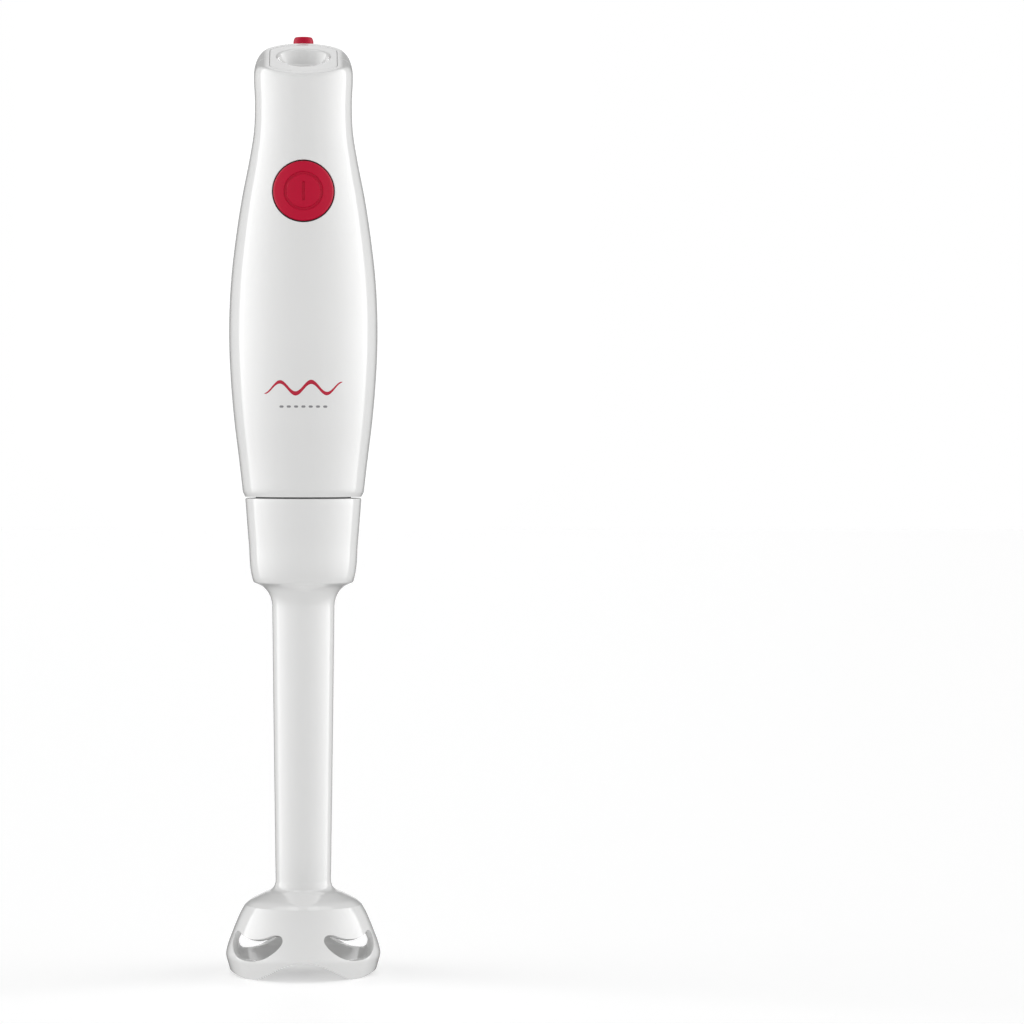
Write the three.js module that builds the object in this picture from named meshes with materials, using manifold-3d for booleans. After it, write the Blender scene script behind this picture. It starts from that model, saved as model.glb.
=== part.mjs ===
// Immersion blender: a motor grip with one push switch, and a detachable foot with a
// four-lobed blade guard. Millimetres, +Z up, the switch faces -Y, and the origin is on the
// floor under the blade, at the middle of the four lobes that the blender stands on.
import * as THREE from "three";
import { mergeVertices } from "three/addons/utils/BufferGeometryUtils.js";
import Module from "manifold-3d";

const wasm = await Module();
wasm.setup();

// ---- Driving dimensions -------------------------------------------------------------
const GAP = 0.3; // between pieces that touch
const RUN = 0.1; // between a shaft and its bore
const ROUND = 36; // sides of a large round
const SMALL = 18; // sides of a small round

// Foot: guard, stem and collar are one moulding.
const GUARD_R = 31.3; // widest, at GUARD_WIDE_Z
const GUARD_WIDE_Z = 7.9;
const GUARD_RIM_R = 29.2; // at the floor
const SHOULDER_R = 23.7; // crease between the guard's side and its shoulder
const SHOULDER_Z = 27.8;
const GUARD_WALL = 2.4;
const FRONT_ARCH = 8.1; // height of the arches at front and back
const SIDE_ARCH = 2.3; // height of the arches at the sides
const LOBE_FLAT = 0.35; // taken off the arches, so that each lobe ends in a small flat
const ARCH_POWER = 1.4; // how square the lobes are
const STEM_R = 11.2; // at the guard
const STEM_TOP_R = 12.6; // at the collar
const STEM_FOOT_Z = 36.8;
const STEM_WALL = 2.6;
const COLLAR_R = 20.3; // at its lower corner
const COLLAR_TOP_R = 23.55;
const COLLAR_WALL = 2.4;
const COLLAR_HEIGHT = 34.3;
const COLLAR_FILLET = 8.7; // height of the flare from stem to collar
const COLLAR_FLOOR = 4.3;
const PARTING_Z = 193; // where foot and grip meet
const PARTING_GAP = 0.6;

// Slots in the guard: lateral place and height of the points round half of one slot.
const SLOT_HALF = [
  [0, 7.6],
  [7.3, 8.8],
  [11.1, 11.1],
  [12.9, 12.9],
  [13.9, 15.6],
  [12.7, 18.0],
  [10.2, 18.4],
  [6.7, 17.2],
  [0, 16.2],
];

// Grip: its outline is given by four radii and the rises above the parting line.
const GRIP_RIM_R = 24.3;
const BELLY_R = 30.05;
const BELLY_RISE = 64;
const NECK_R = 19.6;
const NECK_RISE = 159;
const HEAD_R = 20;
const HEAD_RISE = 168;
const TOP_RISE = 177.65; // the slanting top, on the axis
const TOP_TILT = (22.8 * Math.PI) / 180;
const SHELL_WALL = 2.2;
const RIM_WIDTH = 1.9; // the shells' lip round the cap
const CAP_R = HEAD_R - RIM_WIDTH; // the cap is this round, less its two straight sides
const CAP_SIDE_CUT = 4.4;
const CAP_HALF = CAP_R - CAP_SIDE_CUT;
const CAP_FLANGE = 1.4;
const CAP_FLANGE_THICK = 1.5;
const DISH_MARGIN = 3.2; // from the dish to the cap's straight sides
const DISH_R = CAP_HALF - DISH_MARGIN;
const DISH_DEPTH = 5.8;
const DISH_WALL = 1.5;
const DISH_LONG = 1.1; // its length as a share of its width
const DISH_FLOOR = 0.74; // radius of its floor as a share of its mouth
const SHOULDER_DROP = 5.5; // how far the slanting top falls off at its two sides

// Outline of the grip between the radii: share of the way up, share of the change.
const SWELL = [
  [0.23, 0.296],
  [0.487, 0.643],
  [0.746, 0.887],
];
const TAPER = [
  [0.259, 0.084],
  [0.43, 0.261],
  [0.6, 0.498],
  [0.772, 0.803],
  [0.874, 0.951],
];

// Push switch
const BUTTON_R = 12.1;
const BUTTON_RISE = 122.5;
const BUTTON_GAP = 0.55;
const BUTTON_PROUD = 0.4;
const BUTTON_TRAVEL = 2.2;
const GROOVE_R = 7.25;
const GROOVE_WIDTH = 1.1;
const GROOVE_DEPTH = 0.5;
const BAR_WIDTH = 1.1;
const BAR_LENGTH = 7.5;
const BUTTON_BACK_Y = -13.4;
const SEAL_WIDTH = 3;
const SEAL_DEPTH = 1.5;
const PLUNGER_R = 2.2;
const PLUNGER_FRONT_Y = -12.9;
const SWITCH_FRONT_Y = -6.5;
const SWITCH_SIZE = [16, 13, 21];

// Cord gland at the rear of the head
const GLAND_R = 4.15;
const GLAND_BORE_R = 3;
const GLAND_BEND_R = 8;
const GLAND_RISE = 175; // height of its mouth's straight end above the parting line
const GLAND_TOP_RISE = 188.6;
const GLAND_FLANGE_R = 6;
const GLAND_FLANGE_Y = 14.8;
const FLANGE_THICK = 1.6;

// Bayonet between foot and grip
const SPIGOT_R = 19.25;
const SPIGOT_WALL = 2.3;
const SPIGOT_RISE = 11;
const SPIGOT_SKIRT_R = 20.3;
const SPIGOT_SKIRT = 5.4;
const LUGS = 3;
const LUG_OUT = 1.3;
const LUG_HEIGHT = 3;
const LUG_ANGLE = 24;
const LUG_TOP = 9; // above the parting line
const RING_HEIGHT = 13;

// Shafts and dog coupling
const DRIVE_SHAFT_R = 3;
const ROTOR_SHAFT_R = 2.5;
const DOG_R = 8;
const DOG_TOOTH = 5;
const DOG_TOOTH_ANGLE = 70;
const DOG_RISE = 7; // foot of the upper dog's teeth above the parting line
const DOG_BODY = 6;
const BUSH_R = 6;
const BLADE_Z = 12;
const BLADE_R = 19;
const BLADE_WIDTH = 9;
const BLADE_THICK = 1.2;
const BLADE_PITCH = (12 * Math.PI) / 180;
const BLADE_TURN = (70 * Math.PI) / 180; // where the blade stands at rest
const BLADE_PAD_R = 5.6;
const BOSS_R = 9.3;
const BOSS_Z = 17;

// Motor: rises of its pieces above the parting line
const STATOR_RISE = 43;
const STACK = 28;
const STATOR_R = 23;
const STATOR_BORE_R = 11.7;
const ARMATURE_R = 11.2;
const COIL_IN_R = 13.3;
const COIL_OUT_R = 17.9;
const COIL_END = 5;
const POLE_HALF = 6.2;
const BRACKET_WALL = 4.2;
const BRACKET_PLATE = 2;
const BEARING_R = 8;
const BEARING_HEIGHT = 5.4;
const CUP_WALL = 2;
const LOWER_PLATE_RISE = 26;
const UPPER_PLATE_RISE = 92;
const FAN_RISE = 30;
const FAN_R = 17.5;
const FAN_HEIGHT = 6.5;
const FAN_BLADES = 9;
const COMMUTATOR_RISE = 80;
const COMMUTATOR_R = 6.2;
const COMMUTATOR_HEIGHT = 10;
const ROTOR_TOP_RISE = 104;
const TEETH = 12;
const BRUSH_RISE = 85;
const HOLDER_HALF = 4.2;
const HOLDER_WALL = 1.3;
const HOLDER_START = 8;
const HOLDER_END = 22;
const BRUSH_HALF = 2.5;
const BRUSH_LENGTH = 9.2;
const BOLT_R = 1.3;
const BOLT_CIRCLE_R = 20.6;
const MOUNT_HEIGHT = 6;

// Screws that hold the two shells together: place across and rise above the parting line.
const SCREW_R = 1.5;
const SCREW_HEAD_R = 2.6;
const SCREW_HEAD = 2.2;
const SCREW_LENGTH = 15;
const SCREW_SEAT_Y = 9;
const POST_R = 3.8;
const SCREW_ANGLE = (43 * Math.PI) / 180; // below level, seen from the button's middle
const SCREW_REACH = BUTTON_R + SEAL_WIDTH + POST_R + GAP; // clears the button's seal
const SCREW_SIDE = SCREW_REACH * Math.cos(SCREW_ANGLE);
const SCREW_RISE = BUTTON_RISE - SCREW_REACH * Math.sin(SCREW_ANGLE);
const SHELL_SCREWS = [
  [-SCREW_SIDE, SCREW_RISE],
  [SCREW_SIDE, SCREW_RISE],
  [0, 152],
];

// Cooling slots in the rear shell
const VENTS = 5;
const VENT_RISE = 24;
const VENT_PITCH = 4.4;
const VENT_HEIGHT = 2;
const VENT_HALF = 10;

const deg = (angle) => (angle * Math.PI) / 180;

// ---- Finishes -----------------------------------------------------------------------
const finish = (color, roughness, metalness = 0) =>
  new THREE.MeshStandardMaterial({ color, roughness, metalness });
const WHITE = finish(0xf2f2f2, 0.2);
const CRIMSON = finish(0xb5102f, 0.3);
const DARK_RUBBER = finish(0x24090f, 0.7);
const BLACK_PLASTIC = finish(0x1c1c1e, 0.5);
const GREY_PLASTIC = finish(0x8d8f92, 0.45);
const STEEL = finish(0xc4c6c9, 0.25, 1);
const LAMINATION = finish(0x6b6d70, 0.5, 1);
const COPPER = finish(0xb5622d, 0.35, 1);
const BRASS = finish(0xc09a4a, 0.3, 1);
const CARBON = finish(0x2a2a2b, 0.8);

// ---- Solids -------------------------------------------------------------------------
// A closed three.js geometry as a solid that can be joined and cut.
function solid(geometry) {
  const bare = geometry.clone();
  bare.deleteAttribute("normal");
  bare.deleteAttribute("uv");
  const merged = mergeVertices(bare, 1e-4);
  return new wasm.Manifold(
    new wasm.Mesh({
      numProp: 3,
      vertProperties: new Float32Array(merged.attributes.position.array),
      triVerts: new Uint32Array(merged.index.array),
    }),
  );
}

// A solid as a three.js geometry.
function geometryOf(made) {
  const mesh = made.getMesh();
  const geometry = new THREE.BufferGeometry();
  geometry.setAttribute("position", new THREE.BufferAttribute(mesh.vertProperties, 3));
  geometry.setIndex(new THREE.BufferAttribute(mesh.triVerts, 1));
  geometry.computeVertexNormals();
  return geometry;
}

const joined = (first, ...others) => others.reduce((sum, next) => sum.add(next), first);
const cut = (first, ...others) => others.reduce((left, next) => left.subtract(next), first);

// A loop of [radius, height] points turned round the Z axis.
function turned(loop, sides = SMALL) {
  const points = loop.map(([r, z]) => new THREE.Vector2(r, z));
  if (THREE.ShapeUtils.isClockWise(points)) points.reverse();
  const onAxis = points.findIndex((p, i) => p.x === 0 && points.at(i - 1).x === 0);
  if (onAxis < 0) points.push(points[0].clone());
  else points.push(...points.splice(0, onAxis));
  const geometry = new THREE.LatheGeometry(points, sides);
  geometry.rotateX(Math.PI / 2);
  return solid(geometry);
}

const disc = (r, low, high, sides = SMALL) =>
  turned([[0, low], [r, low], [r, high], [0, high]], sides);
const tube = (inner, outer, low, high, sides = SMALL) =>
  turned([[inner, low], [outer, low], [outer, high], [inner, high]], sides);

// A box between two corners.
function block([x0, y0, z0], [x1, y1, z1]) {
  const geometry = new THREE.BoxGeometry(x1 - x0, y1 - y0, z1 - z0);
  geometry.translate((x0 + x1) / 2, (y0 + y1) / 2, (z0 + z1) / 2);
  return solid(geometry);
}

// A box from the middle of its lower face.
const blockAt = ([x, y, z], [width, depth, height]) =>
  block([x - width / 2, y - depth / 2, z], [x + width / 2, y + depth / 2, z + height]);

// A solid moved and turned: rotation about X, then Y, then Z, in radians.
function moved(made, [x, y, z], [rx, ry, rz] = [0, 0, 0]) {
  const matrix = new THREE.Matrix4().makeRotationFromEuler(new THREE.Euler(rx, ry, rz, "ZYX"));
  matrix.setPosition(x, y, z);
  return solid(geometryOf(made).applyMatrix4(matrix));
}

// A round bar along Y from y0 to y1.
const barY = (r, x, z, y0, y1, sides = SMALL) =>
  moved(disc(r, 0, y1 - y0, sides), [x, y0, z], [-Math.PI / 2, 0, 0]);

// An outline extruded by a depth, first drawn in X and Y.
const prism = (shape, depth, steps = 6) =>
  solid(new THREE.ExtrudeGeometry(shape, { depth, bevelEnabled: false, curveSegments: steps }));

// A sector of a ring, from one angle to another in degrees.
function sector(inner, outer, from, to, low, high) {
  const shape = new THREE.Shape();
  shape.absarc(0, 0, outer, deg(from), deg(to), false);
  shape.absarc(0, 0, inner, deg(to), deg(from), true);
  return moved(prism(shape, high - low), [0, 0, low]);
}

// A round section carried along a curve.
function rod(curve, r, steps, sides) {
  const section = new THREE.Shape();
  section.absarc(0, 0, r, 0, 2 * Math.PI, false);
  const options = { steps, bevelEnabled: false, extrudePath: curve, curveSegments: sides };
  return solid(new THREE.ExtrudeGeometry(section, options));
}

// A coil spring along Z, as a curve for rod.
class Helix extends THREE.Curve {
  constructor(radius, length, turns) {
    super();
    this.radius = radius;
    this.length = length;
    this.turns = turns;
  }
  getPoint(t, target = new THREE.Vector3()) {
    const angle = 2 * Math.PI * this.turns * t;
    const x = this.radius * Math.cos(angle);
    const y = this.radius * Math.sin(angle);
    return target.set(x, y, this.length * t);
  }
}

// ---- Assembly -----------------------------------------------------------------------
const blender = new THREE.Group();
const motorUnit = new THREE.Group();
const foot = new THREE.Group();
blender.add(motorUnit, foot);

function add(group, name, made, material, place = [0, 0, 0]) {
  const mesh = new THREE.Mesh(geometryOf(made), material);
  mesh.name = name;
  mesh.position.set(...place);
  group.add(mesh);
  return mesh;
}

// ---- Grip outline -------------------------------------------------------------------
const GRIP_BOTTOM_Z = PARTING_Z + PARTING_GAP / 2;
const BELLY_Z = PARTING_Z + BELLY_RISE;
const NECK_Z = PARTING_Z + NECK_RISE;
const HEAD_Z = PARTING_Z + HEAD_RISE;
const TOP_Z = PARTING_Z + TOP_RISE;
const SKY_Z = TOP_Z + 2 * HEAD_R; // above every part of the slanting top

function stations(shares, fromZ, fromR, toZ, toR) {
  return shares.map(([up, over]) => [fromZ + up * (toZ - fromZ), fromR + over * (toR - fromR)]);
}
const gripCurve = new THREE.SplineCurve(
  [
    [GRIP_BOTTOM_Z, GRIP_RIM_R],
    ...stations(SWELL, GRIP_BOTTOM_Z, GRIP_RIM_R, BELLY_Z, BELLY_R),
    [BELLY_Z, BELLY_R],
    ...stations(TAPER, BELLY_Z, BELLY_R, NECK_Z, NECK_R),
    [NECK_Z, NECK_R],
    [HEAD_Z, HEAD_R],
    [SKY_Z, HEAD_R],
  ].map(([z, r]) => new THREE.Vector2(z, r)),
);

// Radius of the grip's outside at a height, found on the curve by halving.
function gripRadius(z) {
  let low = 0;
  let high = 1;
  for (let i = 0; i < 30; i += 1) {
    const mid = (low + high) / 2;
    if (gripCurve.getPoint(mid).x < z) low = mid;
    else high = mid;
  }
  return gripCurve.getPoint(low).y;
}

// The solid inside the grip's outline, grown or shrunk by an offset.
const OUTLINE_STEP = 14; // height of one facet
function gripCore(offset, low = GRIP_BOTTOM_Z, high = SKY_Z, sides = ROUND) {
  const side = [];
  const bendTop = Math.min(HEAD_Z, high);
  const steps = Math.max(1, Math.round((bendTop - low) / OUTLINE_STEP));
  for (let i = 0; i <= steps; i += 1) {
    const z = low + ((bendTop - low) * i) / steps;
    side.push([gripRadius(Math.max(z, GRIP_BOTTOM_Z)) + offset, z]);
  }
  if (high > bendTop) side.push([HEAD_R + offset, high]);
  return turned([[0, low], ...side, [0, high]], sides);
}

// ---- Slanting top -------------------------------------------------------------------
// Everything lower than the slanting top less a drop measured square to it. Its section is
// flat in the middle and falls off in a curve at the two sides.
const FAR = 60;
const DEEP = 7 * FAR; // reaches below the floor from the slanting top
const SHOULDER_STEPS = 5;
function underTop(drop) {
  const shape = new THREE.Shape();
  const across = HEAD_R + GAP - CAP_HALF;
  shape.moveTo(-FAR, -DEEP);
  shape.lineTo(-FAR, -SHOULDER_DROP - drop);
  for (let i = 0; i <= SHOULDER_STEPS; i += 1) {
    const turn = deg((90 * i) / SHOULDER_STEPS);
    const x = CAP_HALF + across * Math.cos(turn);
    shape.lineTo(-x, SHOULDER_DROP * (Math.sin(turn) - 1) - drop);
  }
  for (let i = SHOULDER_STEPS; i >= 0; i -= 1) {
    const turn = deg((90 * i) / SHOULDER_STEPS);
    const x = CAP_HALF + across * Math.cos(turn);
    shape.lineTo(x, SHOULDER_DROP * (Math.sin(turn) - 1) - drop);
  }
  shape.lineTo(FAR, -SHOULDER_DROP - drop);
  shape.lineTo(FAR, -DEEP);
  shape.closePath();
  const standing = moved(prism(shape, 2 * DEEP, 4), [0, DEEP, 0], [Math.PI / 2, 0, 0]);
  return slanted(standing);
}
// A solid drawn square to the slanting top, with its origin on the axis at the top.
const slanted = (made) => moved(made, [0, 0, TOP_Z], [TOP_TILT, 0, 0]);
// A slice of the cap's outline between two drops below the slanting top, grown all round.
function capSlice(grown, from, to) {
  const round = disc(CAP_R + grown, -to, -from, ROUND);
  const half = CAP_HALF + grown;
  return slanted(round.intersect(block([-half, -FAR, -FAR], [half, FAR, FAR])));
}

const CLEAR = 3; // how far a cutter stands out of what it cuts
const shellRoom = gripCore(-SHELL_WALL, GRIP_BOTTOM_Z - CLEAR).intersect(underTop(SHELL_WALL));
const shellSolid = cut(gripCore(0).intersect(underTop(0)), shellRoom, capSlice(GAP, -FAR, FAR / 4));

// ---- Gland path ---------------------------------------------------------------------
const GLAND_Y = HEAD_R + GLAND_R + GAP + 0.1;
const GLAND_BEND_Z = PARTING_Z + GLAND_RISE + GLAND_BEND_R;
const GLAND_TOP_Z = PARTING_Z + GLAND_TOP_RISE;
function glandPath(fromY, toZ) {
  const path = new THREE.CurvePath();
  const low = PARTING_Z + GLAND_RISE;
  const bendY = GLAND_Y - GLAND_BEND_R;
  const corner = new THREE.Vector3(0, GLAND_Y, low);
  const start = new THREE.Vector3(0, bendY, low);
  const end = new THREE.Vector3(0, GLAND_Y, GLAND_BEND_Z);
  path.add(new THREE.LineCurve3(new THREE.Vector3(0, fromY, low), start));
  path.add(new THREE.QuadraticBezierCurve3(start, corner, end));
  path.add(new THREE.LineCurve3(end, new THREE.Vector3(0, GLAND_Y, toZ)));
  return path;
}
const GLAND_STEPS = 12;
const GLAND_SIDES = 8; // in half a turn

// ---- Shells -------------------------------------------------------------------------
const BUTTON_Z = PARTING_Z + BUTTON_RISE;
const buttonHole = barY(BUTTON_R + BUTTON_GAP, 0, BUTTON_Z, -FAR, 0, ROUND);
const frontHalf = block([-FAR, -FAR, 0], [FAR, -GAP / 2, 2 * SKY_Z]);
const rearHalf = block([-FAR, GAP / 2, 0], [FAR, FAR, 2 * SKY_Z]);
const postLimit = gripCore(-SHELL_WALL / 2);

let frontShell = cut(shellSolid.intersect(frontHalf), buttonHole);
let rearShell = shellSolid.intersect(rearHalf);
for (const [x, rise] of SHELL_SCREWS) {
  const z = PARTING_Z + rise;
  const hole = barY(SCREW_R + GAP, x, z, -FAR / 3, FAR, 12);
  const pilot = barY(SCREW_R + GAP, x, z, SCREW_SEAT_Y - SCREW_LENGTH - 1, FAR, 12);
  const seat = barY(SCREW_HEAD_R + GAP, x, z, SCREW_SEAT_Y, FAR, 16);
  const post = barY(POST_R, x, z, -FAR, FAR, 16).intersect(postLimit);
  const frontPost = post.intersect(frontHalf);
  frontShell = cut(joined(frontShell, cut(frontPost, buttonHole)), pilot);
  rearShell = cut(joined(rearShell, post.intersect(rearHalf)), hole, seat);
}
for (let i = 0; i < VENTS; i += 1) {
  const z = PARTING_Z + VENT_RISE + i * VENT_PITCH;
  rearShell = cut(rearShell, block([-VENT_HALF, 0, z], [VENT_HALF, FAR, z + VENT_HEIGHT]));
}
const glandTube = (r) =>
  rod(glandPath(GLAND_FLANGE_Y, GLAND_TOP_Z), r, GLAND_STEPS, GLAND_SIDES);
const glandFlange = (grown) =>
  barY(
    GLAND_FLANGE_R + grown,
    0,
    PARTING_Z + GLAND_RISE,
    GLAND_FLANGE_Y - FLANGE_THICK - grown,
    GLAND_FLANGE_Y + grown,
  );
const glandHole = joined(glandTube(GLAND_R + GAP), glandFlange(GAP));
rearShell = cut(rearShell, glandHole);
add(motorUnit, "front_shell", frontShell, WHITE);
add(motorUnit, "rear_shell", rearShell, WHITE);

// The cap is a plate let into the slanting top, held by a flange under it, with a round dish
// sunk in its middle.
const flangeDrop = SHELL_WALL + GAP;
const dishFloorR = DISH_R * DISH_FLOOR;
const ovalSlanted = (outline) => slanted(turned(outline, ROUND).scale([1, DISH_LONG, 1]));
const dishCup = ovalSlanted([
  [0, -DISH_DEPTH - DISH_WALL],
  [dishFloorR + DISH_WALL, -DISH_DEPTH - DISH_WALL],
  [DISH_R + DISH_WALL, -DISH_WALL],
  [0, -DISH_WALL],
]);
const dishCutter = ovalSlanted([
  [0, -DISH_DEPTH],
  [dishFloorR, -DISH_DEPTH],
  [DISH_R, 0],
  [DISH_R, CLEAR],
  [0, CLEAR],
]);
const capBody = joined(
  capSlice(0, 0, flangeDrop + CAP_FLANGE_THICK / 2),
  capSlice(CAP_FLANGE, flangeDrop, flangeDrop + CAP_FLANGE_THICK).intersect(
    gripCore(-SHELL_WALL - GAP, NECK_Z),
  ),
  dishCup,
);
add(motorUnit, "top_cap", cut(capBody, dishCutter, glandHole), WHITE);

const glandBore = rod(
  glandPath(GLAND_FLANGE_Y - GLAND_R, GLAND_TOP_Z + 1),
  GLAND_BORE_R,
  GLAND_STEPS,
  GLAND_SIDES,
);
const gland = cut(joined(glandTube(GLAND_R), glandFlange(0)), glandBore);
add(motorUnit, "cord_gland", gland, CRIMSON);

// ---- Push switch --------------------------------------------------------------------
const buttonBody = barY(BUTTON_R, 0, BUTTON_Z, -FAR, BUTTON_BACK_Y, ROUND).intersect(
  gripCore(BUTTON_PROUD, BUTTON_Z - 2 * BUTTON_R, BUTTON_Z + 2 * BUTTON_R),
);
const grooveFloor = gripCore(
  BUTTON_PROUD - GROOVE_DEPTH,
  BUTTON_Z - 2 * BUTTON_R,
  BUTTON_Z + 2 * BUTTON_R,
);
const ringTool = cut(
  barY(GROOVE_R + GROOVE_WIDTH / 2, 0, BUTTON_Z, -FAR, -1, ROUND),
  barY(GROOVE_R - GROOVE_WIDTH / 2, 0, BUTTON_Z, -FAR - 1, 0, ROUND),
);
const barTool = block(
  [-BAR_WIDTH / 2, -FAR, BUTTON_Z - BAR_LENGTH / 2],
  [BAR_WIDTH / 2, -1, BUTTON_Z + BAR_LENGTH / 2],
);
const grooves = cut(joined(ringTool, barTool), grooveFloor);
add(motorUnit, "power_button", cut(buttonBody, grooves), CRIMSON);

const sealDisc = barY(
  BUTTON_R + SEAL_WIDTH,
  0,
  BUTTON_Z,
  BUTTON_BACK_Y - SEAL_DEPTH,
  BUTTON_BACK_Y,
  ROUND,
);
const sealRing = cut(
  sealDisc.intersect(gripCore(-SHELL_WALL - GAP)),
  barY(BUTTON_R + GAP, 0, BUTTON_Z, -FAR, 0, ROUND),
);
add(motorUnit, "button_seal", sealRing, DARK_RUBBER);

const SWITCH_BACK_Y = SWITCH_FRONT_Y + SWITCH_SIZE[1];
const WELL = BUTTON_TRAVEL + 1.6; // depth of the switch's hole for the plunger
const PLUNGER_BACK_Y = SWITCH_FRONT_Y + 1;
add(
  motorUnit,
  "switch_plunger",
  joined(
    barY(PLUNGER_R, 0, BUTTON_Z, PLUNGER_FRONT_Y, PLUNGER_BACK_Y),
    barY(PLUNGER_R + 1.6, 0, BUTTON_Z, PLUNGER_FRONT_Y, PLUNGER_FRONT_Y + 1),
  ),
  GREY_PLASTIC,
);
const switchBox = block(
  [-SWITCH_SIZE[0] / 2, SWITCH_FRONT_Y, BUTTON_Z - SWITCH_SIZE[2] / 2],
  [SWITCH_SIZE[0] / 2, SWITCH_BACK_Y, BUTTON_Z + SWITCH_SIZE[2] / 2],
);
const well = barY(PLUNGER_R + GAP, 0, BUTTON_Z, -FAR, SWITCH_FRONT_Y + WELL);
add(motorUnit, "switch_body", cut(switchBox, well), BLACK_PLASTIC);

const SPRING_WIRE_R = 0.35;
const SPRING_R = PLUNGER_R + 0.9;
const springLength = SWITCH_FRONT_Y - (PLUNGER_FRONT_Y + 1) - 2 * (SPRING_WIRE_R + GAP);
const buttonSpring = rod(new Helix(SPRING_R, springLength, 3.5), SPRING_WIRE_R, 28, 3);
add(
  motorUnit,
  "button_spring",
  moved(buttonSpring, [0, 0, 0], [-Math.PI / 2, 0, 0]),
  STEEL,
  [0, PLUNGER_FRONT_Y + 1 + SPRING_WIRE_R + GAP, BUTTON_Z],
);

// ---- Inside the head ----------------------------------------------------------------
const CLAMP_RISE = 157.5;
const CLAMP_SIZE = [20, 5, 7];
const CLAMP_Y = 4;
const CLAMP_SCREW_X = 7;
const CLAMP_Z = PARTING_Z + CLAMP_RISE;
const clampBar = blockAt([0, CLAMP_Y, CLAMP_Z], CLAMP_SIZE);
const clampHoles = [-CLAMP_SCREW_X, CLAMP_SCREW_X].map((x) =>
  barY(SCREW_R + GAP, x, CLAMP_Z + CLAMP_SIZE[2] / 2, -FAR, FAR, 16),
);
add(motorUnit, "cord_clamp", cut(clampBar, ...clampHoles), GREY_PLASTIC);

// A round-headed screw along Y, its head's seat at the origin and its tip towards -Y.
const screw = (length) =>
  joined(
    moved(disc(SCREW_R, 0, length + 0.5, 12), [0, -length, 0], [-Math.PI / 2, 0, 0]),
    cut(
      moved(disc(SCREW_HEAD_R, 0, SCREW_HEAD, 12), [0, 0, 0], [-Math.PI / 2, 0, 0]),
      block([-1.8, SCREW_HEAD - 0.9, -0.4], [1.8, SCREW_HEAD + 1, 0.4]),
      block([-0.4, SCREW_HEAD - 0.9, -1.8], [0.4, SCREW_HEAD + 1, 1.8]),
    ),
  );
[-CLAMP_SCREW_X, CLAMP_SCREW_X].forEach((x, i) => {
  const z = CLAMP_Z + CLAMP_SIZE[2] / 2;
  add(motorUnit, `clamp_screw_${i + 1}`, screw(CLAMP_SIZE[1] + 3), STEEL, [
    x,
    CLAMP_Y + CLAMP_SIZE[1] / 2 + GAP,
    z,
  ]);
});
SHELL_SCREWS.forEach(([x, rise], i) => {
  add(motorUnit, `shell_screw_${i + 1}`, screw(SCREW_LENGTH), STEEL, [
    x,
    SCREW_SEAT_Y + GAP,
    PARTING_Z + rise,
  ]);
});
const CAPACITOR_SIZE = [15, 7, 9];
const capacitorPlace = [0, -2, BUTTON_Z + SWITCH_SIZE[2] / 2 + 1.5];
const capacitor = blockAt(capacitorPlace, CAPACITOR_SIZE);
add(motorUnit, "suppression_capacitor", capacitor, BRASS);

// ---- Motor --------------------------------------------------------------------------
const STATOR_Z = PARTING_Z + STATOR_RISE;
const POLE_SIDE = 3; // the windows for the coils start this far from the middle plane
function coilRoom(inner, outer, low, high, side) {
  const ring = tube(inner, outer, low, high, ROUND);
  return ring.intersect(block([-FAR, side, low - 1], [FAR, FAR, high + 1]));
}
const turnHalf = (made) => moved(made, [0, 0, 0], [0, 0, Math.PI]);
const pole = block([-POLE_HALF, 0, -FAR], [POLE_HALF, FAR, FAR]);
const frontWindow = cut(coilRoom(COIL_IN_R - GAP, COIL_OUT_R + GAP, -1, STACK + 1, POLE_SIDE), pole);
const boltAngles = [45, 225];
const bolts = (r, low, high) =>
  boltAngles.map((a) =>
    moved(disc(r, low, high, 12), [
      BOLT_CIRCLE_R * Math.cos(deg(a)),
      BOLT_CIRCLE_R * Math.sin(deg(a)),
      0,
    ]),
  );
const stator = cut(
  tube(STATOR_BORE_R, STATOR_R, 0, STACK, ROUND),
  frontWindow,
  turnHalf(frontWindow),
  ...bolts(BOLT_R + GAP, -1, STACK + 1),
);
add(motorUnit, "stator_core", stator, LAMINATION, [0, 0, STATOR_Z]);

const coilBand = coilRoom(COIL_IN_R, COIL_OUT_R, -COIL_END, STACK + COIL_END, POLE_SIDE + GAP);
const coilHole = block([-POLE_HALF - GAP, 0, -GAP], [POLE_HALF + GAP, FAR, STACK + GAP]);
const fieldCoil = cut(coilBand, coilHole);
add(motorUnit, "field_coil_rear", fieldCoil, COPPER, [0, 0, STATOR_Z]);
const frontCoil = add(motorUnit, "field_coil_front", fieldCoil, COPPER, [0, 0, STATOR_Z]);
frontCoil.rotation.z = Math.PI;

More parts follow.
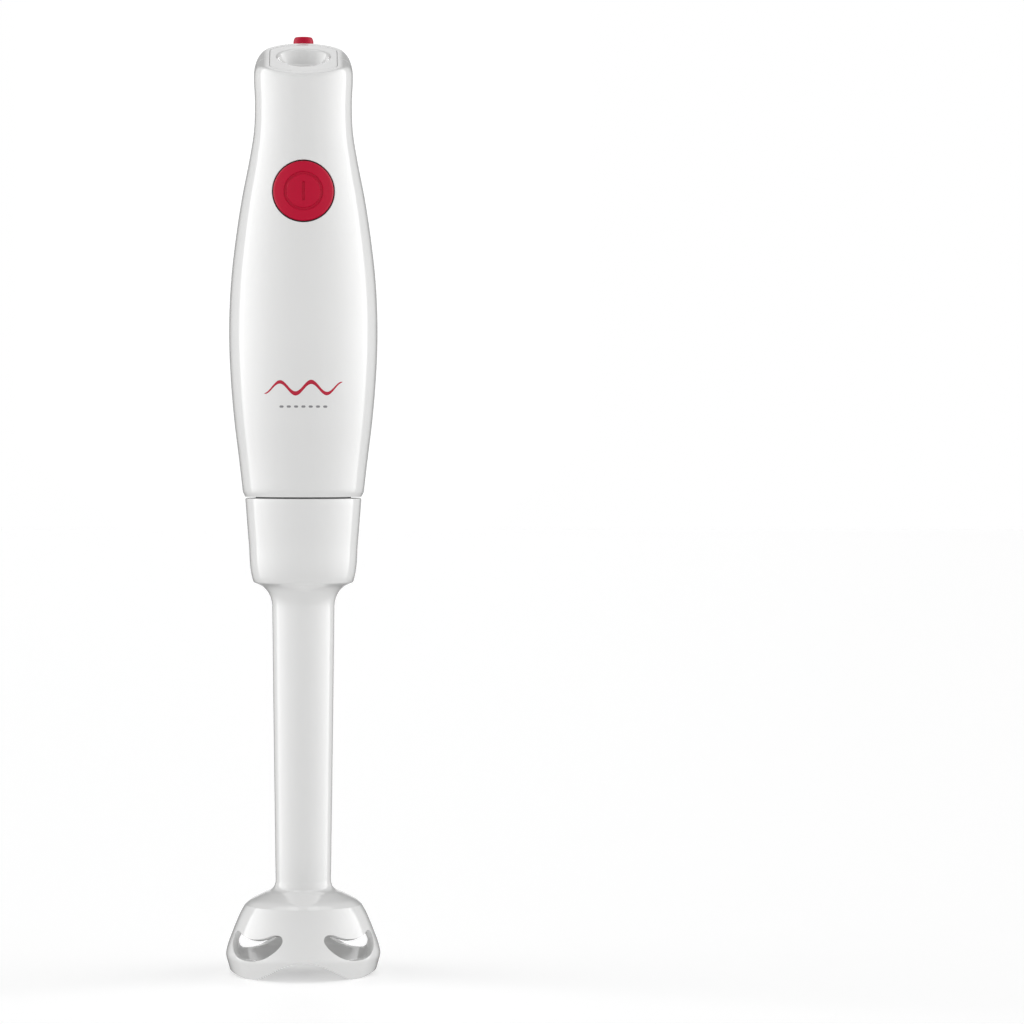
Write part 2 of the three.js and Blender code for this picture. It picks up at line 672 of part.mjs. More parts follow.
// End brackets: a plate with a cup for the bearing and a skirt that meets the stator.
const SKIRT_IN_R = STATOR_R - BRACKET_WALL;
const LOWER_PLATE_Z = PARTING_Z + LOWER_PLATE_RISE;
const UPPER_PLATE_Z = PARTING_Z + UPPER_PLATE_RISE;
const LOWER_CUP_Z = LOWER_PLATE_Z - BEARING_HEIGHT - GAP;
const crossWindows = (low, high, half) => [
  block([-half, -FAR, low], [half, FAR, high]),
  block([-FAR, -half, low], [FAR, half, high]),
];
const lowerBracket = cut(
  joined(
    tube(ROTOR_SHAFT_R + 2, STATOR_R, LOWER_PLATE_Z, LOWER_PLATE_Z + BRACKET_PLATE, ROUND),
    tube(BEARING_R + GAP, BEARING_R + GAP + CUP_WALL, LOWER_CUP_Z, LOWER_PLATE_Z + 0.5, 24),
    tube(SKIRT_IN_R, STATOR_R, LOWER_PLATE_Z, STATOR_Z - GAP, ROUND),
  ),
  ...bolts(BOLT_R + GAP, LOWER_PLATE_Z - 1, STATOR_Z + 1),
  ...crossWindows(LOWER_PLATE_Z + BRACKET_PLATE + 1, STATOR_Z - GAP - 3, 7),
);
add(motorUnit, "lower_bracket", lowerBracket, GREY_PLASTIC);
const upperCupTop = UPPER_PLATE_Z + BRACKET_PLATE + BEARING_HEIGHT + GAP;
const STATOR_TOP_Z = STATOR_Z + STACK;
const BRUSH_Z = PARTING_Z + BRUSH_RISE;
const holderWindow = block(
  [-FAR, -HOLDER_HALF - GAP, BRUSH_Z - HOLDER_HALF - GAP],
  [FAR, HOLDER_HALF + GAP, BRUSH_Z + HOLDER_HALF + GAP],
);
const upperBracket = cut(
  joined(
    tube(ROTOR_SHAFT_R + 2, STATOR_R, UPPER_PLATE_Z, UPPER_PLATE_Z + BRACKET_PLATE, ROUND),
    tube(
      BEARING_R + GAP,
      BEARING_R + GAP + CUP_WALL,
      UPPER_PLATE_Z + BRACKET_PLATE - 0.5,
      upperCupTop,
      24,
    ),
    tube(SKIRT_IN_R, STATOR_R, STATOR_TOP_Z + GAP, UPPER_PLATE_Z + 0.5, ROUND),
  ),
  ...bolts(BOLT_R + GAP, STATOR_TOP_Z, UPPER_PLATE_Z + BRACKET_PLATE + 1),
  holderWindow,
  block([-7, -FAR, STATOR_TOP_Z + 4], [7, FAR, UPPER_PLATE_Z - 2]),
);
add(motorUnit, "upper_bracket", upperBracket, GREY_PLASTIC);

const bearing = tube(ROTOR_SHAFT_R + RUN, BEARING_R, 0, BEARING_HEIGHT - GAP, 24);
add(motorUnit, "lower_bearing", bearing, STEEL, [0, 0, LOWER_CUP_Z]);
add(motorUnit, "upper_bearing", bearing, STEEL, [0, 0, UPPER_PLATE_Z + BRACKET_PLATE + GAP]);

const boltLow = LOWER_PLATE_Z - GAP;
const boltHigh = UPPER_PLATE_Z + BRACKET_PLATE + 2;
boltAngles.forEach((a, i) => {
  const bolt = joined(
    disc(BOLT_R, boltLow, boltHigh, 12),
    disc(BOLT_R + 1, boltLow - 2, boltLow, 6),
  );
  add(motorUnit, `motor_bolt_${i + 1}`, bolt, STEEL, [
    BOLT_CIRCLE_R * Math.cos(deg(a)),
    BOLT_CIRCLE_R * Math.sin(deg(a)),
    0,
  ]);
});

// Rubber rings between the stator and the shells.
function mountRing(z) {
  const room = gripCore(-SHELL_WALL - GAP, z, z + MOUNT_HEIGHT);
  return cut(room, disc(STATOR_R + GAP, z - 1, z + MOUNT_HEIGHT + 1, ROUND));
}
add(motorUnit, "lower_motor_mount", mountRing(STATOR_Z + 2), DARK_RUBBER);
add(motorUnit, "upper_motor_mount", mountRing(STATOR_TOP_Z - 2 - MOUNT_HEIGHT), DARK_RUBBER);

// Brushes run along X against the commutator.
const brushHole = BRUSH_HALF + GAP;
const holder = cut(
  block([HOLDER_START, -HOLDER_HALF, -HOLDER_HALF], [HOLDER_END, HOLDER_HALF, HOLDER_HALF]),
  block([0, -brushHole, -brushHole], [HOLDER_END - HOLDER_WALL, brushHole, brushHole]),
);
const BRUSH_TIP = COMMUTATOR_R + GAP;
const BRUSH_END = BRUSH_TIP + BRUSH_LENGTH;
const brush = block([BRUSH_TIP, -BRUSH_HALF, -BRUSH_HALF], [BRUSH_END, BRUSH_HALF, BRUSH_HALF]);
const WIRE_R = 0.3;
const BRUSH_SPRING_R = 1.8;
const brushSpringLength = HOLDER_END - HOLDER_WALL - BRUSH_END - 2 * (WIRE_R + GAP);
const brushSpring = moved(
  rod(new Helix(BRUSH_SPRING_R, brushSpringLength, 4), WIRE_R, 28, 3),
  [BRUSH_END + WIRE_R + GAP, 0, 0],
  [0, Math.PI / 2, 0],
);
[
  ["right", 0],
  ["left", Math.PI],
].forEach(([side, angle]) => {
  const place = [0, 0, BRUSH_Z];
  add(motorUnit, `brush_holder_${side}`, holder, BRASS, place).rotation.z = angle;
  add(motorUnit, `carbon_brush_${side}`, brush, CARBON, place).rotation.z = angle;
  add(motorUnit, `brush_spring_${side}`, brushSpring, STEEL, place).rotation.z = angle;
});

// ---- Rotor --------------------------------------------------------------------------
const DOG_Z = PARTING_Z + DOG_RISE;
const DOG_TOP_Z = DOG_Z + DOG_TOOTH + DOG_BODY;
const ROTOR_TOP_Z = PARTING_Z + ROTOR_TOP_RISE;
add(motorUnit, "rotor_shaft", disc(ROTOR_SHAFT_R, DOG_Z + DOG_TOOTH + 1, ROTOR_TOP_Z), STEEL);

const CORE_SLOT_IN = 5.6;
const CORE_SLOT_OUT = 10.3;
const CORE_SLOT_HALF = 1.25;
const spokes = (make) =>
  Array.from({ length: TEETH }, (_, i) => moved(make, [0, 0, 0], [0, 0, (2 * Math.PI * i) / TEETH]));
const slotTool = block(
  [CORE_SLOT_IN, -CORE_SLOT_HALF, -1],
  [CORE_SLOT_OUT + 2, CORE_SLOT_HALF, STACK + 1],
);
const armature = cut(tube(ROTOR_SHAFT_R + RUN, ARMATURE_R, 0, STACK, ROUND), ...spokes(slotTool));
add(motorUnit, "armature_core", armature, LAMINATION, [0, 0, STATOR_Z]);
const slotBar = block(
  [CORE_SLOT_IN + GAP, -CORE_SLOT_HALF + GAP, -1],
  [CORE_SLOT_OUT, CORE_SLOT_HALF - GAP, STACK + 1],
);
const WINDING_END = 5.5;
const windingEnd = (low, high) => tube(ROTOR_SHAFT_R + 1, CORE_SLOT_OUT, low, high, TEETH);
const winding = joined(
  windingEnd(-WINDING_END, -GAP),
  windingEnd(STACK + GAP, STACK + WINDING_END),
  ...spokes(slotBar),
);
add(motorUnit, "armature_winding", winding, COPPER, [0, 0, STATOR_Z]);

const segmentCut = block(
  [COMMUTATOR_R - 0.8, -0.2, -1],
  [COMMUTATOR_R + 2, 0.2, COMMUTATOR_HEIGHT + 1],
);
add(
  motorUnit,
  "commutator",
  cut(tube(ROTOR_SHAFT_R + RUN, COMMUTATOR_R, 0, COMMUTATOR_HEIGHT, ROUND), ...spokes(segmentCut)),
  COPPER,
  [0, 0, PARTING_Z + COMMUTATOR_RISE],
);
const fanBlade = block([5, -0.6, 0.5], [FAN_R - 0.5, 0.6, FAN_HEIGHT]);
const fanBlades = Array.from({ length: FAN_BLADES }, (_, i) =>
  moved(fanBlade, [0, 0, 0], [0, 0, (2 * Math.PI * i) / FAN_BLADES]),
);
const fan = joined(
  tube(ROTOR_SHAFT_R + RUN, 6, 0, FAN_HEIGHT),
  tube(ROTOR_SHAFT_R + RUN, FAN_R, 0, 1.2, ROUND),
  ...fanBlades,
);
add(motorUnit, "cooling_fan", fan, BLACK_PLASTIC, [0, 0, PARTING_Z + FAN_RISE]);

// The two dogs interleave and part along Z when the foot comes off.
const tooth = (at, low, high) =>
  sector(DRIVE_SHAFT_R + 1, DOG_R, at - DOG_TOOTH_ANGLE / 2, at + DOG_TOOTH_ANGLE / 2, low, high);
const driveDog = cut(
  joined(
    disc(DOG_R, DOG_Z + DOG_TOOTH, DOG_TOP_Z, 24),
    tooth(0, DOG_Z, DOG_Z + DOG_TOOTH + 0.5),
    tooth(180, DOG_Z, DOG_Z + DOG_TOOTH + 0.5),
  ),
  disc(ROTOR_SHAFT_R + RUN, DOG_Z + DOG_TOOTH + 1 - GAP, DOG_TOP_Z + 1),
);
add(motorUnit, "drive_dog", driveDog, BLACK_PLASTIC);

// ---- Bayonet ring in the grip -------------------------------------------------------
const RING_Z = GRIP_BOTTOM_Z + 1.2;
const RING_TOP_Z = RING_Z + RING_HEIGHT;
const ringOuter = gripCore(-SHELL_WALL - GAP, GRIP_BOTTOM_Z).intersect(
  disc(BELLY_R, RING_Z, RING_TOP_Z, ROUND),
);
const lugAngles = Array.from({ length: LUGS }, (_, i) => 90 + (360 * i) / LUGS);
const LUG_Z = PARTING_Z + LUG_TOP - LUG_HEIGHT;
const LUG_R = SPIGOT_R + LUG_OUT;
const lugTracks = lugAngles.flatMap((a) => [
  sector(
    SPIGOT_R - 1,
    LUG_R + GAP,
    a - LUG_ANGLE / 2 - 3,
    a + LUG_ANGLE / 2 + 3,
    0,
    LUG_Z + LUG_HEIGHT + GAP,
  ),
  sector(
    SPIGOT_R - 1,
    LUG_R + GAP,
    a,
    a + 1.6 * LUG_ANGLE,
    LUG_Z - GAP,
    LUG_Z + LUG_HEIGHT + GAP,
  ),
]);
const bayonetRing = cut(
  ringOuter,
  disc(SPIGOT_R + GAP + 0.05, 0, RING_TOP_Z + 1, ROUND),
  ...lugTracks,
);
add(motorUnit, "bayonet_ring", bayonetRing, GREY_PLASTIC);

// ---- Foot ---------------------------------------------------------------------------
const COLLAR_TOP_Z = PARTING_Z - PARTING_GAP / 2;
const COLLAR_Z = PARTING_Z - COLLAR_HEIGHT;
const STEM_TOP_Z = COLLAR_Z - COLLAR_FILLET;
const SEAT_R = BUSH_R + GAP;

// Points on a quarter curve from one [radius, height] to another through a corner.
function bend(from, corner, to, steps) {
  const vector = ([r, z]) => new THREE.Vector2(r, z);
  return new THREE.QuadraticBezierCurve(vector(from), vector(corner), vector(to))
    .getPoints(steps)
    .map((p) => [p.x, p.y]);
}
const collarSlope = (COLLAR_TOP_R - COLLAR_R) / COLLAR_HEIGHT;
const collarInner = (z) => COLLAR_R + (z - COLLAR_Z) * collarSlope - COLLAR_WALL;
const FLOOR_Z = COLLAR_Z + COLLAR_FLOOR;
const footLoop = [
  [GUARD_RIM_R, 0],
  ...bend([GUARD_RIM_R + 1.2, 2.8], [GUARD_R + 0.1, 5.5], [GUARD_R, GUARD_WIDE_Z], 2),
  ...bend([GUARD_R - 0.4, GUARD_WIDE_Z + 1], [27.6, 17.7], [SHOULDER_R, SHOULDER_Z], 3),
  ...bend([SHOULDER_R - 0.5, SHOULDER_Z + 0.5], [20, 31.2], [STEM_R + 3, 33.5], 2),
  ...bend([STEM_R + 2, 34], [STEM_R + 0.1, 34.9], [STEM_R, STEM_FOOT_Z], 3),
  ...bend(
    [STEM_TOP_R, STEM_TOP_Z],
    [STEM_TOP_R + 0.4, COLLAR_Z - 3.5],
    [COLLAR_R - 0.4, COLLAR_Z - 0.4],
    4,
  ),
  [COLLAR_R, COLLAR_Z],
  [COLLAR_TOP_R, COLLAR_TOP_Z],
  [collarInner(COLLAR_TOP_Z), COLLAR_TOP_Z],
  [collarInner(FLOOR_Z), FLOOR_Z],
  [SEAT_R, FLOOR_Z],
  [SEAT_R, STEM_TOP_Z],
  [STEM_TOP_R - STEM_WALL - 1, STEM_TOP_Z - 3],
  [STEM_R - STEM_WALL, STEM_FOOT_Z + 3],
  [SEAT_R, STEM_FOOT_Z],
  [SEAT_R, BOSS_Z],
  [BOSS_R, BOSS_Z],
  [BOSS_R, SHOULDER_Z + 0.4],
  [SHOULDER_R - GUARD_WALL, SHOULDER_Z - 1.6],
  ...bend(
    [SHOULDER_R - GUARD_WALL + 0.6, SHOULDER_Z - 3],
    [27.4 - GUARD_WALL, 16],
    [GUARD_R - GUARD_WALL, GUARD_WIDE_Z],
    3,
  ),
  [GUARD_RIM_R - GUARD_WALL, 0],
];

// An arch under the guard: its height falls from the middle to the lobes at 45 degrees.
function archTool(height, side) {
  const half = GUARD_RIM_R / Math.SQRT2;
  const steps = 14;
  const shape = new THREE.Shape();
  shape.moveTo(-half, -5);
  for (let i = 0; i <= steps; i += 1) {
    const x = -half + (2 * half * i) / steps;
    const share = Math.max(0, 1 - 2 * (x / GUARD_RIM_R) ** 2);
    const blend = side + (height - side) * (1 - (x / GUARD_RIM_R) ** 2);
    shape.lineTo(x, blend * share ** ARCH_POWER - LOBE_FLAT);
  }
  shape.lineTo(half, -5);
  shape.closePath();
  return moved(prism(shape, 4 * FAR), [0, 2 * FAR, 0], [Math.PI / 2, 0, 0]);
}
const quarterTurned = (made, quarters) => moved(made, [0, 0, 0], [0, 0, (quarters * Math.PI) / 2]);

// One bean-shaped slot, cut outwards at 45 degrees.
const slotPoints = [
  ...SLOT_HALF,
  ...SLOT_HALF.slice(1, -1)
    .reverse()
    .map(([x, z]) => [-x, z]),
].map(([x, z]) => new THREE.Vector2(x, z));
const slotCurve = new THREE.SplineCurve([...slotPoints, slotPoints[0]]);
const slotShape = new THREE.Shape(slotCurve.getPoints(28).slice(0, -1));
const slotCutter = moved(prism(slotShape, FAR), [0, -BOSS_R, 0], [Math.PI / 2, 0, 0]);
const slots = [45, 135, 225, 315].map((a) => moved(slotCutter, [0, 0, 0], [0, 0, deg(a)]));

const footHousing = cut(
  turned(footLoop, ROUND),
  archTool(FRONT_ARCH, SIDE_ARCH),
  quarterTurned(archTool(SIDE_ARCH, SIDE_ARCH), 1),
  ...slots.map((s) => cut(s, disc(BOSS_R + 6, 0, FAR))),
);
add(foot, "foot_housing", footHousing, WHITE);

const spigotIn = SPIGOT_R - SPIGOT_WALL;
const spigot = joined(
  tube(spigotIn, SPIGOT_SKIRT_R, COLLAR_TOP_Z - SPIGOT_SKIRT, COLLAR_TOP_Z, ROUND),
  tube(spigotIn, SPIGOT_R, COLLAR_TOP_Z - 1, PARTING_Z + SPIGOT_RISE, ROUND),
  ...lugAngles.map((a) =>
    sector(SPIGOT_R - 1, LUG_R, a - LUG_ANGLE / 2, a + LUG_ANGLE / 2, LUG_Z, LUG_Z + LUG_HEIGHT),
  ),
);
add(foot, "bayonet_spigot", spigot, GREY_PLASTIC);

const bushBore = DRIVE_SHAFT_R + RUN;
add(foot, "upper_bush", tube(bushBore, BUSH_R, STEM_TOP_Z + GAP, FLOOR_Z - 1), BRASS);
add(foot, "lower_bush", tube(bushBore, BUSH_R, BOSS_Z + 4, STEM_FOOT_Z - 1), BRASS);
add(foot, "shaft_seal", tube(bushBore, BUSH_R, BOSS_Z + 0.4, BOSS_Z + 4 - GAP), DARK_RUBBER);

// ---- Drive shaft and blade ----------------------------------------------------------
const LOWER_DOG_Z = DOG_Z - DOG_BODY - GAP;
const SHAFT_TOP_Z = LOWER_DOG_Z + DOG_BODY - 1;
const HUB_R = 4.6;
const HUB_TOP_Z = BOSS_Z - GAP;
const HUB_Z = BLADE_Z - 3;
const NUT_Z = HUB_Z - 2.4;
add(foot, "drive_shaft", disc(DRIVE_SHAFT_R, HUB_Z + 0.4, SHAFT_TOP_Z), STEEL);
const CLIP_Z = FLOOR_Z + GAP;
const clip = cut(
  tube(bushBore, DRIVE_SHAFT_R + 2.6, CLIP_Z, CLIP_Z + 1),
  block([-1.5, -FAR, CLIP_Z - 1], [1.5, 0, CLIP_Z + 2]),
);
add(foot, "retaining_clip", clip, STEEL);
const lowerDog = cut(
  joined(
    disc(DOG_R, LOWER_DOG_Z, LOWER_DOG_Z + DOG_BODY, 24),
    tooth(90, LOWER_DOG_Z + DOG_BODY - 0.5, DOG_Z + DOG_TOOTH - GAP),
    tooth(270, LOWER_DOG_Z + DOG_BODY - 0.5, DOG_Z + DOG_TOOTH - GAP),
  ),
  disc(bushBore, LOWER_DOG_Z - 1, SHAFT_TOP_Z + GAP),
);
add(foot, "shaft_dog", lowerDog, BLACK_PLASTIC);

const hub = cut(
  disc(HUB_R, BLADE_Z + BLADE_THICK / 2 + GAP, HUB_TOP_Z, 24),
  disc(bushBore, 0, FAR),
);
add(foot, "blade_hub", hub, WHITE);
// One wing: a scimitar outline from the middle to the tip.
const wing = new THREE.Shape();
wing.moveTo(0, -BLADE_WIDTH / 2);
wing.quadraticCurveTo(BLADE_R * 0.6, -BLADE_WIDTH * 0.62, BLADE_R, -BLADE_WIDTH * 0.05);
wing.quadraticCurveTo(BLADE_R * 0.7, BLADE_WIDTH * 0.42, 0, BLADE_WIDTH / 2);
wing.closePath();
const wingSolid = moved(
  moved(prism(wing, BLADE_THICK, 8), [0, 0, -BLADE_THICK / 2]),
  [0, 0, BLADE_Z],
  [BLADE_PITCH, 0, 0],
);
const pad = disc(BLADE_PAD_R, BLADE_Z - BLADE_THICK / 2, BLADE_Z + BLADE_THICK / 2, 24);
const oneWing = cut(wingSolid, block([-FAR, -FAR, -FAR], [BLADE_PAD_R - 1.2, FAR, FAR]));
const wings = moved(joined(oneWing, turnHalf(oneWing)), [0, 0, 0], [0, 0, BLADE_TURN]);
add(foot, "blade", cut(joined(pad, wings), disc(bushBore, 0, FAR)), STEEL);
const nut = cut(
  disc(HUB_R, NUT_Z, BLADE_Z - BLADE_THICK / 2 - GAP, 6),
  disc(bushBore, HUB_Z, FAR),
);
add(foot, "blade_nut", nut, STEEL);

export default blender;
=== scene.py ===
"""Immersion blender: the looks of a corded hand blender standing on its foot.

Lengths are in metres, +Z is up, the switch faces -Y and the origin is on the floor under the
blade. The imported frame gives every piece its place.
"""
import math

import bpy
import numpy as np
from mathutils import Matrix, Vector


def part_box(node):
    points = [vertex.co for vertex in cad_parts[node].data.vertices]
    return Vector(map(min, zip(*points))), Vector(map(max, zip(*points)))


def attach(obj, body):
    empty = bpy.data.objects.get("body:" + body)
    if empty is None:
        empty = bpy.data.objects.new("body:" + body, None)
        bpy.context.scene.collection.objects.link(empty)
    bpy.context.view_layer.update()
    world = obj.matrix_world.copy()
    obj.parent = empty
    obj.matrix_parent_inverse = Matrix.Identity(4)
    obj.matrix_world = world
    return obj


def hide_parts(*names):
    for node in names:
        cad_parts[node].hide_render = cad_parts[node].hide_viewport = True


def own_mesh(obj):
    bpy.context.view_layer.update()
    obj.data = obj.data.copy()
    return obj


bl_info = {
    "name": "Immersion blender",
    "version": (1, 0, 0),
    "blender": (4, 5, 0),
    "location": "3D View > Sidebar > Blender",
    "description": "Builds the shells, switch, foot, blade and studio of an immersion blender",
    "category": "Add Mesh",
}

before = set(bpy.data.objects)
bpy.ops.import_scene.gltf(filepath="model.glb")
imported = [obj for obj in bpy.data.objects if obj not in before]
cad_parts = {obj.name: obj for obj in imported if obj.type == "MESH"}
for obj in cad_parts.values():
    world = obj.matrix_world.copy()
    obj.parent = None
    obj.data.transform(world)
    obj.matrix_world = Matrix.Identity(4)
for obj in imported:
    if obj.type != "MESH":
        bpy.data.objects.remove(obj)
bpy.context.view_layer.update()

MM = 0.001
FOOT_TOP_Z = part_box("foot_housing")[1][2]
GRIP_LOW_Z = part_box("front_shell")[0][2]
BUTTON_LOW, BUTTON_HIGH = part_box("power_button")
GLAND_LOW, GLAND_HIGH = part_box("cord_gland")
BLADE_Z = 0.5 * (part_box("blade")[0][2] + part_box("blade")[1][2])
SPRING_LOW, SPRING_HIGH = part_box("button_spring")


# ---- Sizes and colours that a user would change --------------------------------------------


def length(name, description, default):
    """A length property, in metres."""
    return bpy.props.FloatProperty(
        name=name, description=description, default=default, min=0.0, unit="LENGTH", precision=5
    )


def angle_setting(name, description, degrees):
    """An angle property, from degrees."""
    return bpy.props.FloatProperty(
        name=name, description=description, default=math.radians(degrees), subtype="ANGLE"
    )


def share_setting(name, description, default):
    """A property without a unit."""
    return bpy.props.FloatProperty(name=name, description=description, default=default)


def colour(name, description, default):
    """A linear colour property."""
    return bpy.props.FloatVectorProperty(
        name=name, description=description, default=default, size=3, min=0.0, max=1.0,
        subtype="COLOR",
    )


class GripSizes(bpy.types.PropertyGroup):
    """The motor grip, its slanting top and its switch."""

    rim: length("Rim radius", "Radius of the grip where it meets the foot", 24.3 * MM)
    belly: length("Belly radius", "Largest radius of the grip", 30.05 * MM)
    belly_rise: length("Belly rise", "Height of the belly above the grip's lower end", 63.7 * MM)
    neck: length("Neck radius", "Radius of the grip under its head", 19.6 * MM)
    neck_rise: length("Neck rise", "Height of the neck above the grip's lower end", 158.7 * MM)
    head: length("Head radius", "Radius of the grip's head", 20.0 * MM)
    head_rise: length("Head rise", "Where the head's straight part starts", 167.7 * MM)
    top_rise: length("Top rise", "Height of the slanting top on the axis", 177.35 * MM)
    tilt: angle_setting("Tilt", "Slope of the top, high at the rear", 22.8)
    wall: length("Wall", "Thickness of the shells", 2.2 * MM)
    chamfer: length("Chamfer", "Chamfer on the grip's lower rim", 0.7 * MM)
    edge: length("Edge", "Width of the rounding of the top's outer edge", 1.1 * MM)
    edge_drop: length("Edge drop", "How far that rounding goes down the wall", 2.6 * MM)
    fall: length("Fall", "How far the top falls off at its two sides", 5.5 * MM)
    cap: length("Cap radius", "Radius of the cap let into the top", 18.1 * MM)
    cap_half: length("Cap half width", "Half the distance between the cap's straight sides",
                     13.7 * MM)
    seam: length("Seam", "Gap round the cap", 0.06 * MM)
    dish: length("Dish radius", "Radius of the dish in the cap", 10.5 * MM)
    dish_depth: length("Dish depth", "Depth of the dish", 5.8 * MM)
    dish_back: length("Dish back", "How far the dish lies behind the middle", 0.8 * MM)
    dish_long: share_setting("Dish long", "Length of the dish as a share of its width", 1.1)
    dish_flare: share_setting("Dish flare", "How much wider the dish is at its rear", 0.1)


class SwitchSizes(bpy.types.PropertyGroup):
    """The round push switch."""

    gap: length("Gap", "Gap round the button", 0.55 * MM)
    proud: length("Proud", "How far the button stands out of the grip", 0.4 * MM)
    dishing: length("Dishing", "How far the button's face is hollowed", 0.35 * MM)
    groove: length("Groove radius", "Mean radius of the ring groove", 7.25 * MM)
    groove_width: length("Groove width", "Width of the ring and the bar", 1.1 * MM)
    groove_depth: length("Groove depth", "Depth of the ring and the bar", 0.55 * MM)
    bar: length("Bar length", "Length of the bar groove", 7.5 * MM)
    # The lip is a dark ring in the gap round the button that stands for the shadow there: painted
    # shade.
    gap_shade_depth: length("Lip depth", "How far the seal's lip lies under the surface", 0.35 * MM)


class FootSizes(bpy.types.PropertyGroup):
    """The detachable foot: guard, stem and collar."""

    wall: length("Wall", "Thickness of the guard", 2.4 * MM)
    front_arch: length("Front arch", "Height of the arches at front and back", 8.1 * MM)
    side_arch: length("Side arch", "Height of the arches at the sides", 2.3 * MM)
    lobe_flat: length("Lobe flat", "Taken off the arches where a lobe stands", 0.35 * MM)
    slot_edge: length("Slot edge", "Rounding of the slots' edges", 0.8 * MM)


class BladeSizes(bpy.types.PropertyGroup):
    """The blade."""

    reach: length("Reach", "Length of one wing", 19 * MM)
    width: length("Width", "Width at the middle", 9 * MM)
    thick: length("Thick", "Thickness of the plate", 1.2 * MM)
    pitch: angle_setting("Pitch", "Slope of a wing", 12)
    turn: angle_setting("Turn", "Where it stands at rest", 70)


class Colours(bpy.types.PropertyGroup):
    """The finishes."""

    white: colour("White", "Glossy moulding", (0.76, 0.76, 0.755))
    crimson: colour("Crimson", "Button, gland and printed wave", (0.5, 0.0015, 0.031))
    print_grey: colour("Print grey", "Printed dashes", (0.25, 0.25, 0.26))
    floor: colour("Floor", "Studio floor", (0.78, 0.78, 0.78))


SETTINGS = {
    "grip_sizes": GripSizes,
    "switch_sizes": SwitchSizes,
    "foot_sizes": FootSizes,
    "blade_sizes": BladeSizes,
    "blender_colours": Colours,
}


def sizes(name):
    """One group of settings of the current scene."""
    return getattr(bpy.context.scene, name)


# ---- Surfaces ---------------------------------------------------------------------------------


def quads_of(rows, columns, closed):
    """Quads between neighbouring rows and columns of a grid that is counted row by row.

    Its normals point to the cross product of the way along a row and the way to the next row.
    """
    r, c = np.meshgrid(
        np.arange(rows - 1), np.arange(columns if closed else columns - 1), indexing="ij"
    )
    n = (c + 1) % columns
    corners = [r * columns + c, r * columns + n, (r + 1) * columns + n, (r + 1) * columns + c]
    return np.stack(corners, axis=-1).reshape(-1, 4)


def sheet_of(points, closed=True):
    """A grid of points, rows by columns by 3, with the quads between them."""
    rows, columns = points.shape[:2]
    return points.reshape(-1, 3), quads_of(rows, columns, closed)


def revolved(profile, turns=120):
    """A profile of radius and height turned round the Z axis: (r cos a, r sin a, z).

    A profile that goes up shows its outside, and one that goes down shows its inside.
    """
    profile = np.asarray(profile, dtype=float)
    angle = np.linspace(0, 2 * np.pi, turns, endpoint=False)
    r, z = profile[:, :1], profile[:, 1:]
    points = np.stack([r * np.cos(angle), r * np.sin(angle), z + 0 * angle], axis=-1)
    return sheet_of(points)


def smooth_line(points, count):
    """A smooth line through points: a cubic between each two, with the mean of the neighbouring
    slopes at each point, at count places evenly spread over the chord lengths."""
    points = np.asarray(points, dtype=float)
    chord = np.linalg.norm(np.diff(points, axis=0), axis=1)
    at = np.concatenate([[0], np.cumsum(chord)])
    slope = np.gradient(points, at, axis=0)
    t = np.linspace(0, at[-1], count)
    i = np.clip(np.searchsorted(at, t, side="right") - 1, 0, len(chord) - 1)
    h = chord[i][:, None]
    f = ((t - at[i]) / chord[i])[:, None]
    a, b, m, n = points[i], points[i + 1], slope[i] * h, slope[i + 1] * h
    return (
        a * (2 * f**3 - 3 * f**2 + 1) + m * (f**3 - 2 * f**2 + f)
        + b * (3 * f**2 - 2 * f**3) + n * (f**3 - f**2)
    )


def arc(centre, radius, start, end, count=6):
    """Points on part of a circle, from one angle to another, in degrees."""
    angle = np.radians(np.linspace(start, end, count))
    return np.stack(
        [centre[0] + radius * np.cos(angle), centre[1] + radius * np.sin(angle)], axis=-1
    )


def pierced(surface, across, along, windows, closed, rows=8):
    """A grid of a surface of two parameters, with a hole in each window.

    A window is (first column, last column, first row, last row, hole). Its edge is a loop with
    places (s, t) from -1 to 1, and hole(s, t) gives the two parameters of the hole's edge.
    The points between go straight, in the parameters, from the window's edge to the hole's.
    Returns the parts and the points of each hole's edge.
    """
    columns = len(across)
    u, v = np.meshgrid(across, along)
    quads = quads_of(len(along), columns, closed).reshape(len(along) - 1, -1, 4)
    keep = np.ones(quads.shape[:2], dtype=bool)
    rims, patches = [], []
    for left, right, low, high, hole in windows:
        keep[low:high, left:right] = False
        wide, tall = np.arange(left, right), np.arange(low, high)
        i = np.concatenate([wide, 0 * tall + right, wide[::-1] + 1, 0 * tall + left])
        j = np.concatenate([0 * wide + low, tall, 0 * wide + high, tall[::-1] + 1])
        s = 2 * (across[i] - across[left]) / (across[right] - across[left]) - 1
        t = 2 * (along[j] - along[low]) / (along[high] - along[low]) - 1
        to_u, to_v = hole(s, t)
        share = (1 - (1 - np.linspace(0, 1, rows)) ** 1.6)[:, None]
        points = surface(
            across[i] * (1 - share) + to_u * share, along[j] * (1 - share) + to_v * share
        )
        patches.append(sheet_of(points))
        rims.append(points[-1])
    grid = surface(u, v).reshape(-1, 3)
    return [(grid, quads[keep]), *patches], rims


SAME_POINT = 0.0001 * MM  # points closer than this are one
SHARP = math.radians(38)  # edges that turn more than this are rounded
BEVEL_STEPS = 3


